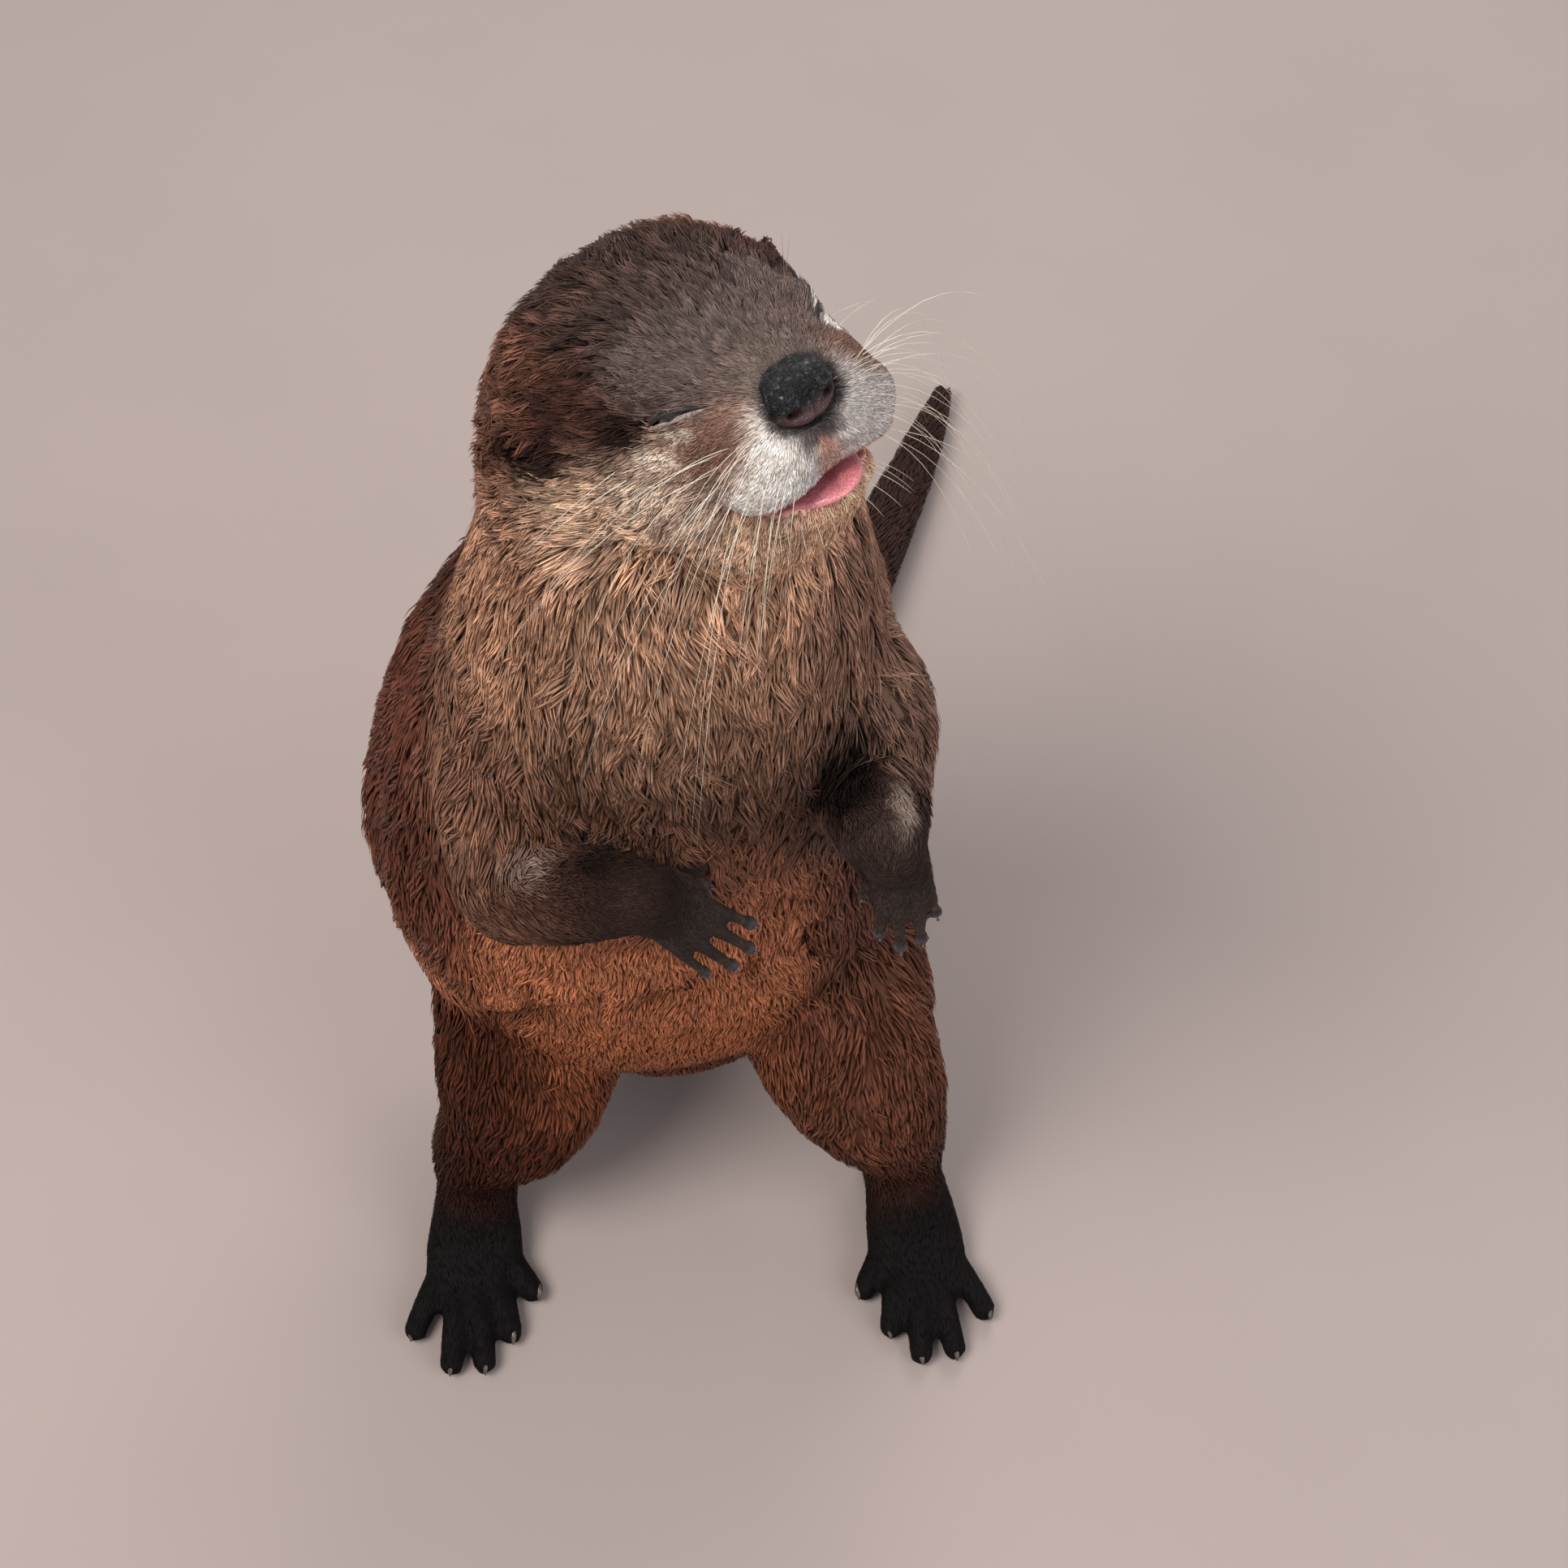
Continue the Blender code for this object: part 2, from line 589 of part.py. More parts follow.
def build_limb(pieces, triangles, end, reach, core):
    """A limb whose hand or foot, within reach of its end, keeps the finer triangles."""
    limb = fuse("limb", pieces, LIMB_VOXEL, 4)
    thin_out(limb, triangles, lambda place: 0.85 if (place - end).length < reach else 0.0)
    boolean(limb, half_space(Vector((0, 0, 0)), (0, 0, -1)), "DIFFERENCE")
    boolean(limb, grown(core, GAP), "DIFFERENCE")
    return largest_piece(limb)


def seat(host, piece):
    """Cuts a seat for a small piece into a bigger one, with clearance all round."""
    return largest_piece(boolean(host, grown(piece, GAP), "DIFFERENCE"))


def build():
    fur = material("coat", COAT_BROWN, 0.75)
    dark_fur = material("back coat", BACK_BROWN, 0.75)
    chest_fur = material("chest coat", CHEST_TAN, 0.75)
    head_fur = material("head coat", HEAD_GREY_BROWN, 0.75)
    chin_fur = material("chin coat", CHIN_TAN, 0.75)
    paw_skin = material("paw", PAW_BLACK, 0.60)
    nose_skin = material("nose", NOSE_BLACK, 0.35)
    tongue_skin = material("tongue", TONGUE_PINK, 0.30)
    eye_surface = material("eye", EYE_BLACK, 0.08)

    core = build_core()
    names = {-1: "right", 1: "left"}
    for side in (-1, 1):
        arm = build_limb(arm_pieces(side), 700, FINGERTIP[side], 0.026, core)
        elbow, wrist = ELBOW[side], WRIST[side]
        forearm_way = (wrist - elbow).normalized()
        arm, fore = split(arm, elbow + forearm_way * 0.012, forearm_way, "forearm")
        hand_way = (FINGERTIP[side] - wrist).normalized()
        fore, paw = split(fore, wrist, forearm_way + hand_way * 0.7, "paw")
        finish(arm, f"upper_arm_{names[side]}", fur)
        finish(fore, f"forearm_{names[side]}", fur)
        finish(paw, f"forepaw_{names[side]}", paw_skin)

        leg = build_limb(leg_pieces(side), 720, BALL_OF_FOOT[side] + Vector((0, -0.02, 0)), 0.038, core)
        leg, shank = split(leg, KNEE[side] + Vector((0, 0, -0.014)), (0, 0.1, -1), "shank")
        shank, foot = split(shank, HOCK[side] + Vector((0, 0, -0.006)), (0, -0.35, -1), "foot")
        finish(leg, f"thigh_{names[side]}", fur)
        finish(shank, f"shank_{names[side]}", fur)
        finish(foot, f"hind_foot_{names[side]}", paw_skin)

    # The trunk is parted from the head down, then the tail from the root out.
    neck_way = (NAPE - NECK).normalized()
    core, head = split(core, NECK + Vector((0, 0, 0.007)), neck_way + Vector((0, 0.25, 0)), "head")
    core, neck = split(core, SHOULDERS + Vector((0, 0, 0.004)), (0, -0.12, 1), "neck")
    belly, chest = split(core, BELLY + Vector((0, 0, 0.020)), (0, -0.2, 1), "chest")
    belly, tail = split(belly, TAIL_LINE[1] + Vector((0.002, 0.012, 0)), Vector((0.1, 1, -0.3)), "tail")
    tail, tail_middle = split(tail, TAIL_LINE[3], TAIL_LINE[4] - TAIL_LINE[2], "tail middle")
    tail_middle, tail_end = split(tail_middle, TAIL_LINE[5], TAIL_LINE[6] - TAIL_LINE[4], "tail end")

    frame = head_frame()
    nose = nose_pad()
    nose.data.transform(frame)
    seat(head, nose)
    seats = []
    for side in (-1, 1):
        flap = ear(side)
        flap.data.transform(frame)
        boolean(flap, grown(head, GAP), "DIFFERENCE")
        finish(largest_piece(flap), f"ear_{names[side]}", dark_fur)
        ball, slit = eye(head, frame, side)
        seats += [grown(ball, GAP), slit]
        finish(ball, f"eye_{names[side]}", eye_surface)

    for hollow in seats:
        boolean(head, hollow, "DIFFERENCE")

    cutter = mouth_cutter()
    cutter.data.transform(frame)
    boolean(head, cutter, "DIFFERENCE")
    upper, lower = loose_groups(head.data)[:2]
    jaw_part = keep_only(copy_of(head, "jaw"), lower)
    head_part = keep_only(head, upper)

    tip_down = Matrix.Rotation(math.radians(9), 4, "X")
    tongue = swelling((0, -0.0325, MOUTH_LEVEL - 0.0022), (0.0088, 0.0140, 0.0024), tip_down, detail=2)
    tongue.data.transform(frame)
    seat(head_part, tongue)
    seat(jaw_part, tongue)

    finish(head_part, "head", head_fur)
    finish(jaw_part, "jaw", chin_fur)
    finish(tongue, "tongue", tongue_skin)
    finish(nose, "nose", nose_skin)
    finish(neck, "neck", chest_fur)
    finish(chest, "chest", chest_fur)
    finish(belly, "belly", fur)
    finish(tail, "tail_root", dark_fur)
    finish(tail_middle, "tail_middle", dark_fur)
    finish(tail_end, "tail_end", dark_fur)


def centre_on_floor():
    """Moves everything so that the origin is under the middle of the model."""
    corners = [v.co for obj in bpy.data.objects for v in obj.data.vertices]
    low = [min(c[k] for c in corners) for k in range(3)]
    high = [max(c[k] for c in corners) for k in range(3)]
    shift = Matrix.Translation((-(low[0] + high[0]) / 2, -(low[1] + high[1]) / 2, -low[2]))
    for obj in bpy.data.objects:
        obj.data.transform(shift)


for leftover in list(bpy.data.objects):
    bpy.data.objects.remove(leftover)
build()
centre_on_floor()
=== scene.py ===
"""A small-clawed otter standing upright, life size: its skin, coat, face and paws.

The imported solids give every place.  One skin is grown from the solids of flesh and drawn in by the
depth of the coat, and the coat is made of thin closed locks of hair that root on that skin.  Sizes
are in metres.  A stance place is measured from the point that the limbs were posed around.  A head
place is measured from the middle of the skull: the animal's left is +X, its nose points along -Y
and its crown along +Z.
"""

import math

import bmesh
import bpy
import numpy as np
from mathutils import Matrix, Vector, kdtree, noise
from mathutils.bvhtree import BVHTree


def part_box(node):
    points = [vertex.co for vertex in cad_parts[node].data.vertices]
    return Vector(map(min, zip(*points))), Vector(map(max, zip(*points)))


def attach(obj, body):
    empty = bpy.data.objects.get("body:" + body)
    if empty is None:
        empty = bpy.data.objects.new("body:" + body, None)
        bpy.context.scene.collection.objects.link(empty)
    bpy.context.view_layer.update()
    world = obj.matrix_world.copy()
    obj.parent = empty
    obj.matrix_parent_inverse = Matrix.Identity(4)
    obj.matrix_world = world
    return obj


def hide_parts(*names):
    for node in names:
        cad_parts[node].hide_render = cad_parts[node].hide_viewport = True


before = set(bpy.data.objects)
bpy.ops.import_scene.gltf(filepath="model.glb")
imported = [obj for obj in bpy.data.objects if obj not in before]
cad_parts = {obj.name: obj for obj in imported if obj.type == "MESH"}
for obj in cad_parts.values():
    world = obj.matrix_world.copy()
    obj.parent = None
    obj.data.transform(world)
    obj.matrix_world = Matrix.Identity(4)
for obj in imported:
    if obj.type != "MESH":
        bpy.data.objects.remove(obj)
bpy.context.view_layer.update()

MM = 0.001
SEED = 11
SIDES = (-1, 1)                # the animal's right and left
SIDE_NAME = {-1: "right", 1: "left"}

# ---------------------------------------------------------------- places
NOSE_LOW_IN_STANCE = Vector((0.0239430, -0.0485177, 0.4203823))
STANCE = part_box("nose")[0] - NOSE_LOW_IN_STANCE
SKULL = Vector((0.0064, -0.0102, 0.4009))
HEAD_FORWARD = Vector((0.542, -0.661, 0.519))
HEAD_UP = Vector((-0.400, 0.341, 0.851))
MOUTH_LEVEL = -0.0182          # in head places: where the lips meet
NOSE_TIP = (0.0, -0.0520, 0.0010)


def head_frame():
    """Turns head places into the model's."""
    ahead = HEAD_FORWARD.normalized()
    up = (HEAD_UP - ahead * HEAD_UP.dot(ahead)).normalized()
    left = up.cross(ahead)
    turn = Matrix((left, -ahead, up)).transposed().to_4x4()
    return Matrix.Translation(STANCE + SKULL) @ turn


HEAD = head_frame()
HEAD_INVERSE = HEAD.inverted()


def head(x, y, z):
    return HEAD @ Vector((x, y, z))


def stance(x, y, z):
    return STANCE + Vector((x, y, z))


def to_head(points):
    """An array of the model's places as head places."""
    m = np.array(HEAD_INVERSE)
    return points @ m[:3, :3].T + m[:3, 3]


# ---------------------------------------------------------------- coat zones
DEPTH, LENGTH, WIDTH, SHARE, CLUMP = range(5)     # columns of a zone's values
COLOUR = slice(5, 8)


class Zone:
    """A stretch of coat round a line.  Its hairs run along the line, or away from a point.

    Depth of the coat and length and width of its locks are in mm, and share is locks for each
    square millimetre.
    """

    def __init__(self, piece, start, end, reach, depth, length, width, share, clump, colour, away=None):
        self.piece = piece
        self.start, self.end, self.reach = np.array(start), np.array(end), reach
        self.away = None if away is None else np.array(away)
        self.values = np.array([depth * MM, length * MM, width * MM, share, clump, *colour])


NOSE_ROOT = head(0.0, -0.0500, 0.0020)
ABOVE_HEAD = stance(0.000, 0.010, 0.560)
EAR_FRONT = (0.034, 0.004, -0.010)     # in head places: the ear's hair runs back from here
# The whisker pads' white: the left pad's is darkened as painted shade on the side turned from the light.
PAD_WHITE = {-1: (0.930, 0.850, 0.780), 1: (0.620, 0.560, 0.525)}
TRUNK = ("throat", "chest", "belly", "flanks", "back")

# Rows of a zone's piece, start, end, reach, depth, length, width, share, clump and colour.
# On both sides of the face, in head places of its left side; a pad has its side's white, darker on the
# left as painted shade.
FACE_SIDES = (
    ("muzzle", (.01, -.048, -.007), (.017, -.043, -.013), .0085, .5, 2.8, .24, 11, .2, None),
    ("muzzle", (.0195, -.04, .001), (.0215, -.03, -.004), .009, .6, 3.4, .3, 9, .35, (.26, .147, .111)),
    ("face", (.0245, -.026, -.008), (.0275, -.015, -.008), .011, 1, 6, .38, 6, .8, (.45, .33, .255)),
    ("face", (.014, -.033, .012), (.02, -.02, .015), .009, .7, 4.2, .3, 7, .5, (.125, .087, .077)),
    ("face", (.029, -.012, .008), (.034, 0, .008), .012, 1.6, 7, .38, 4.4, .85, (.05, .02, .014)),
    ("cheek", (.033, -.008, -.012), (.038, .014, -.017), .013, 1.6, 9.5, .5, 2.8, .9, (.45, .295, .205)),
    ("cheek", (.04, .025, -.018), (.04, .042, -.024), .016, 1.9, 10.5, .62, 2, .85, (.27, .142, .09)),
    ("crown", (.034, .022, .017), (.038, .045, .003), .015, 2.5, 10.5, .52, 2.2, .95, (.13, .054, .035)),
    ("ears", (.04, .024, .007), (.0425, .0275, -.002), .0075, .3, 2.6, .3, 7, .3, (.112, .05, .034)),
    ("chin", (.01, -.033, -.027), (.019, -.021, -.029), .009, .9, 4, .32, 4.8, .5, (.56, .37, .25)),
)
# Down the middle of the face, in head places.
FACE_MIDDLE = (
    ("muzzle", (0, -.047, .0095), (0, -.04, .0125), .008, .5, 2.5, .26, 10, .25, (.19, .14, .118)),
    ("muzzle", (0, -.05, -.0105), (0, -.05, -.013), .0035, .3, 1.6, .24, 11, .1, (.6, .38, .31)),
    ("face", (0, -.032, .015), (0, -.022, .018), .01, .8, 4.2, .28, 7, .55, (.108, .078, .068)),
    ("face", (0, -.012, .024), (0, -.006, .028), .013, 1.5, 6.4, .36, 4.8, .8, (.072, .045, .038)),
    ("crown", (0, .008, .031), (0, .03, .029), .019, 2.6, 10, .5, 2.6, .95, (.052, .028, .021)),
    ("crown", (0, .044, .02), (0, .054, .004), .019, 2.7, 12, .68, 1.5, .95, (.052, .022, .014)),
    ("chin", (0, -.038, -.027), (0, -.03, -.03), .009, .7, 3.2, .3, 5.6, .35, (.72, .44, .28)),
    ("throat", (0, -.018, -.036), (0, 0, -.042), .017, 1.5, 9, .56, 2.6, .75, (.54, .312, .2)),
)
# Neck, trunk, limbs and tail, in stance places.
BODY = (
    ("throat", (.004, -.045, .352), (0, -.046, .325), .03, 1.9, 12.5, .68, .95, .8, (.36, .2, .125)),
    ("chest", (-.002, -.048, .305), (-.004, -.048, .275), .032, 2.1, 14, .8, .66, .85, (.13, .064, .041)),
    ("chest", (-.002, -.046, .245), (-.004, -.042, .22), .03, 2, 12, .78, .56, .7, (.3, .115, .066)),
    ("throat", (-.042, -.02, .345), (-.048, -.02, .315), .022, 2, 12.5, .72, .8, .8, (.4, .212, .132)),
    ("throat", (.042, -.016, .34), (.046, -.018, .315), .022, 2, 12.5, .72, .8, .8, (.27, .144, .1)),
    ("chest", (-.055, -.02, .29), (-.06, -.024, .255), .024, 2, 13, .82, .55, .8, (.215, .104, .066)),
    ("chest", (.052, -.022, .29), (.058, -.02, .262), .022, 2, 12.5, .82, .55, .8, (.18, .1, .072)),
    ("back", (-.002, .046, .352), (-.008, .06, .3), .04, 2.4, 14, 1.2, .25, .65, (.066, .024, .014)),
    ("back", (-.024, .085, .25), (-.034, .1, .15), .062, 2.6, 15, 1.4, .18, .6, (.06, .021, .012)),
    ("back", (-.022, .095, .105), (-.015, .09, .08), .045, 2.6, 14, 1.4, .18, .55, (.06, .021, .012)),
    ("flanks", (-.085, .02, .235), (-.1, .025, .14), .036, 2.4, 14, 1.2, .27, .65, (.115, .036, .021)),
    ("flanks", (.062, .015, .235), (.07, .015, .14), .036, 2.4, 14, 1.2, .27, .65, (.12, .047, .03)),
    ("belly", (-.012, -.04, .195), (-.014, -.036, .165), .038, 1.6, 8, .7, .66, .4, (.43, .158, .076)),
    ("belly", (-.014, -.032, .145), (-.014, -.026, .118), .034, 1.5, 7, .68, .72, .3, (.4, .132, .056)),
    ("belly", (-.014, -.01, .085), (-.014, .01, .06), .03, 1.8, 9, 1, .34, .3, (.17, .05, .024)),
    ("arms", (-.044, -.01, .262), (-.049, -.03, .232), .021, 1.8, 10, .7, .66, .7, (.15, .07, .044)),
    ("arms", (.044, -.01, .27), (.05, -.018, .254), .02, 1.8, 10, .7, .66, .7, (.16, .088, .062)),
    ("arms", (-.047, -.035, .228), (-.028, -.05, .246), .02, 1.6, 6.5, .46, 1.2, .5, (.092, .043, .03)),
    ("arms", (.05, -.016, .252), (.053, -.044, .269), .018, 1.6, 6, .46, 1.2, .5, (.062, .034, .026)),
    ("arms", (-.022, -.055, .253), (-.01, -.064, .262), .017, .8, 4, .32, 3, .3, (.036, .017, .012)),
    ("arms", (.0535, -.05, .273), (.055, -.06, .279), .015, .8, 4, .32, 3, .3, (.05, .03, .025)),
    ("paws", (-.006, -.063, .258), (.014, -.058, .228), .018, .15, 1.4, .17, 2.6, .15, (.034, .023, .02)),
    ("paws", (.0565, -.06, .27), (.06, -.057, .234), .018, .15, 1.4, .17, 2.6, .15, (.038, .026, .023)),
    ("legs", (-.06, .01, .112), (-.066, -.006, .07), .034, 1.9, 10.5, 1.05, .31, .5, (.062, .017, .008)),
    ("legs", (.048, .01, .112), (.054, -.004, .07), .034, 1.9, 10.5, 1.05, .31, .5, (.132, .047, .026)),
    ("legs", (-.068, -.01, .06), (-.077, -.014, .034), .022, 1.3, 7, .72, .48, .35, (.03, .008, .004)),
    ("legs", (.056, -.006, .064), (.067, -.01, .036), .022, 1.3, 7, .72, .48, .35, (.044, .014, .008)),
    # The hind paws: dark wet fur, darkened to near black as painted shade.
    ("paws", (-.078, -.01, .014), (-.079, -.072, .005), .018, .25, 2.2, .28, .7, .1, (.003, .0021, .002)),
    ("paws", (.07, -.006, .014), (.079, -.068, .005), .018, .25, 2.2, .28, .7, .1, (.003, .0021, .002)),
    ("tail", (-.013, .075, .062), (-.002, .12, .036), .036, 2.4, 13, 1.2, .2, .5, (.06, .022, .014)),
    ("tail", (.004, .142, .028), (.047, .232, .016), .026, 2, 10, 1, .29, .45, (.05, .02, .014)),
    ("tail", (.058, .258, .014), (.098, .376, .007), .018, 1.5, 8, .72, .46, .4, (.042, .02, .016)),
)


def zones():
    """Every stretch of coat.  Hair runs back from the nose, and over the trunk down from the head."""
    found = []
    for side in SIDES:
        for piece, (x, y, z), (end_x, end_y, end_z), *values, colour in FACE_SIDES:
            away = head(side * EAR_FRONT[0], *EAR_FRONT[1:]) if piece == "ears" else NOSE_ROOT
            start, end = head(side * x, y, z), head(side * end_x, end_y, end_z)
            found.append(Zone(piece, start, end, *values, colour or PAD_WHITE[side], away))
    for piece, start, end, *values in FACE_MIDDLE:
        found.append(Zone(piece, head(*start), head(*end), *values, NOSE_ROOT))
    for piece, start, end, *values in BODY:
        away = ABOVE_HEAD if piece in TRUNK else None
        found.append(Zone(piece, stance(*start), stance(*end), *values, away))
    return found


ZONES = zones()
PIECES = list(dict.fromkeys(zone.piece for zone in ZONES))


# ---------------------------------------------------------------- mesh tools
def link(obj):
    bpy.context.scene.collection.objects.link(obj)
    return obj


def mesh_of(name, places, faces):
    """An object from an array of places and an array of triangles."""
    mesh = bpy.data.meshes.new(name)
    mesh.vertices.add(len(places))
    mesh.vertices.foreach_set("co", np.asarray(places, np.float32).ravel())
    mesh.loops.add(len(faces) * 3)
    mesh.loops.foreach_set("vertex_index", np.asarray(faces, np.int32).ravel())
    mesh.polygons.add(len(faces))
    mesh.polygons.foreach_set("loop_start", np.arange(0, len(faces) * 3, 3, dtype=np.int32))
    mesh.update(calc_edges=True)
    mesh.shade_smooth()
    return link(bpy.data.objects.new(name, mesh))


def stacked(name, shapes):
    """One object from several shapes of places and triangles."""
    starts = np.cumsum([0] + [len(places) for places, _ in shapes])
    faces = [corners + start for (_, corners), start in zip(shapes, starts)]
    return mesh_of(name, np.concatenate([places for places, _ in shapes]), np.concatenate(faces))


def from_bmesh(name, bm):
    turned_out(bm)
    mesh = bpy.data.meshes.new(name)
    bm.to_mesh(mesh)
    bm.free()
    mesh.shade_smooth()
    return link(bpy.data.objects.new(name, mesh))


def edited(mesh, edit):
    """Changes a mesh by a function of its bmesh."""
    bm = bmesh.new()
    bm.from_mesh(mesh)
    edit(bm)
    bm.to_mesh(mesh)
    bm.free()


def triangulated(bm):
    bmesh.ops.triangulate(bm, faces=[face for face in bm.faces if len(face.verts) > 3])


def turned_out(bm):
    bmesh.ops.recalc_face_normals(bm, faces=bm.faces)


def evaluated(obj):
    """Applies an object's modifiers to its mesh."""
    bpy.context.view_layer.update()
    graph = bpy.context.evaluated_depsgraph_get()
    mesh = bpy.data.meshes.new_from_object(obj.evaluated_get(graph))
    obj.modifiers.clear()
    obj.data = mesh
    return obj


def read(items, word, width, kind):
    """One value of a mesh's vertices, faces or edges as an array."""
    found = np.empty(len(items) * width, kind)
    items.foreach_get(word, found)
    return found.reshape(-1, width)


def places_of(mesh):
    return read(mesh.vertices, "co", 3, np.float32).astype(float)


def normals_of(mesh):
    return read(mesh.vertex_normals, "vector", 3, np.float32).astype(float)


def triangles_of(mesh):
    return read(mesh.polygons, "vertices", 3, np.int32)


def edges_of(mesh):
    return read(mesh.edges, "vertices", 2, np.int32)


def set_places(mesh, places):
    mesh.vertices.foreach_set("co", np.asarray(places, np.float32).ravel())
    mesh.update()


def averaged(values, edges, rounds):
    """Values of the vertices, each blended with its neighbours' that many times."""
    a, b = edges[:, 0], edges[:, 1]
    count = np.bincount(edges.ravel(), minlength=len(values))[:, None] + 1.0
    for _ in range(rounds):
        total = values.copy()
        for k in range(values.shape[1]):
            total[:, k] += np.bincount(a, values[b, k], len(values))
            total[:, k] += np.bincount(b, values[a, k], len(values))
        values = total / count
    return values


def add_values(mesh, name, values):
    """Stores a number, vector or colour for each vertex."""
    kind, key = {1: ("FLOAT", "value"), 3: ("FLOAT_VECTOR", "vector"), 4: ("FLOAT_COLOR", "color")}[
        1 if values.ndim == 1 else values.shape[1]]
    layer = mesh.attributes.new(name, kind, "POINT")
    layer.data.foreach_set(key, np.asarray(values, np.float32).ravel())


def unit(vectors):
    return vectors / np.maximum(np.linalg.norm(vectors, axis=1, keepdims=True), 1e-12)


def ramp(low, high, values):
    """0 below low, 1 above high and smooth between them."""
    t = np.clip((values - low) / (high - low), 0, 1)
    return t * t * (3 - 2 * t)


def wavy(points, scale, seed=0.0):
    """A smooth number from about -1 to 1 that wanders with place."""
    p = points * scale + seed
    total = np.zeros(len(p))
    for turn, (k, speed) in enumerate(((0, 1.0), (1, 1.31), (2, 0.83), (0, 2.17), (1, 1.93), (2, 2.51))):
        other = p[:, (k + 1) % 3]
        total += np.sin(speed * p[:, k] + 1.7 * np.sin(speed * 0.9 * other + turn) + 2.1 * turn) / 3.2
    return total


# ---------------------------------------------------------------- the skin
PAIRED = ("ear", "upper_arm", "forearm", "forepaw", "thigh", "shank", "hind_foot")
FLESH = ("head", "jaw", "neck", "chest", "belly",
         *(f"{part}_{name}" for part in PAIRED for name in SIDE_NAME.values()),
         "tail_root", "tail_middle", "tail_end")
HANDS = ("forepaw_right", "forepaw_left")      # made anew here, with slender fingers
CUT_COVER = 0.30 * MM          # how far each solid swells, to close the cuts between them
LID = 0.7 * MM                 # flesh in front of the eye
SKIN_VOXEL = 0.75 * MM
SKIN_TRIANGLES = 142_000


def unit_ball(detail):
    """Places and triangles of a ball of radius 1."""
    bm = bmesh.new()
    bmesh.ops.create_icosphere(bm, subdivisions=detail, radius=1.0)
    places = np.array([v.co[:] for v in bm.verts])
    faces = np.array([[v.index for v in face.verts] for face in bm.faces])
    bm.free()
    return places, faces


BALLS = {detail: unit_ball(detail) for detail in (2, 4)}


def add_ball(flesh, place, radius, detail=4):
    """Adds a ball to a list of shapes."""
    places, faces = BALLS[detail]
    flesh.append((places * radius + np.array(place), faces))


def add_limb(flesh, line, sizes, spacing=0.5):
    """Flesh along a line, as a row of balls close enough to look like one."""
    for start, end, size, next_size in zip(line, line[1:], sizes, sizes[1:]):
        steps = max(2, math.ceil((end - start).length / (spacing * min(size, next_size))))
        for k in range(steps + 1):
            t = k / steps
            add_ball(flesh, start.lerp(end, t), size + (next_size - size) * t, 2)


WRIST = {-1: Vector((-0.0100, -0.0650, 0.2645)), 1: Vector((0.0550, -0.0600, 0.2800))}
# Where each forepaw's digits root and where they end, from the thumb out, in mm of stance.
DIGITS = {
    -1: (((-4.5, -54.8, 262.4), (8.1, -50.6, 248.4)), ((0.3, -56.0, 254.6), (19.8, -52.4, 232.0)),
         ((0.9, -58.8, 250.0), (19.6, -56.6, 225.6)), ((-1.1, -62.0, 247.2), (14.4, -60.8, 223.2)),
         ((-6.8, -64.4, 247.6), (7.2, -64.4, 225.4))),
    1: (((50.2, -55.6, 268.7), (48.4, -55.8, 251.0)), ((53.1, -57.0, 262.9), (53.6, -58.2, 235.6)),
        ((57.4, -57.8, 262.4), (59.4, -59.6, 230.5)), ((61.6, -57.4, 262.7), (65.2, -58.8, 233.4)),
        ((64.4, -56.0, 267.4), (68.8, -57.2, 244.0)))}
WRIST_RADIUS = 0.0090
PALM_RADIUS = 0.0060
FINGER_RADIUS = 0.00192
FINGER_TAPER = (1.45, 1.15, 0.98)         # at its root, knuckle and pad
FINGER_PAD = 0.0025
FINGER_CLAW = 0.0012
TOE_CLAW = 0.0024
HAND_BACK = Vector((0.0, -0.62, 0.78))    # the back of each hand faces forward and up
# Across the sole and along it, as the solids pose the toes: roots, then tips.
TOES = ((.0095, .0000, .0228, .0175), (.0070, .0060, .0150, .0335), (.0020, .0090, .0062, .0445),
        (-.0040, .0090, -.0055, .0450), (-.0095, .0050, -.0196, .0325))
BALL_OF_FOOT = {-1: Vector((-0.0785, -0.038, 0.0)), 1: Vector((0.0725, -0.034, 0.0))}
FOOT_TURN = {-1: 0.0, 1: math.radians(10.0)}


def digits(side):
    """Root, tip, way and back of each digit of a forepaw."""
    for root, tip in DIGITS[side]:
        root, tip = stance(*(v * MM for v in root)), stance(*(v * MM for v in tip))
        way = (tip - root).normalized()
        yield root, tip, way, (HAND_BACK - way * HAND_BACK.dot(way)).normalized()


def foot_axes(side):
    """A hind foot's ball, and the ways ahead, inward and up from it."""
    turn = Matrix.Rotation(FOOT_TURN[side], 3, "Z")
    return STANCE + BALL_OF_FOOT[side], turn @ Vector((0, -1, 0)), turn @ Vector((-side, 0, 0)), \
        Vector((0, 0, 1))


def add_hand(flesh, side):
    """Wrist, palm and five slender fingers that end in round pads."""
    wrist = STANCE + WRIST[side]
    for k, (root, tip, way, back) in enumerate(digits(side)):
        slim = 0.90 if k in (0, 4) else 1.0
        sizes = [FINGER_RADIUS * slim * share for share in FINGER_TAPER]
        pad = tip - way * .0020
        knuckle = root.lerp(tip, 0.48) + back * .0016
        add_limb(flesh, [wrist, wrist.lerp(root, 0.55), root], [WRIST_RADIUS, PALM_RADIUS, sizes[0]])
        add_limb(flesh, [root, knuckle, pad], sizes)
        add_ball(flesh, pad - back * .0002, FINGER_PAD * slim)


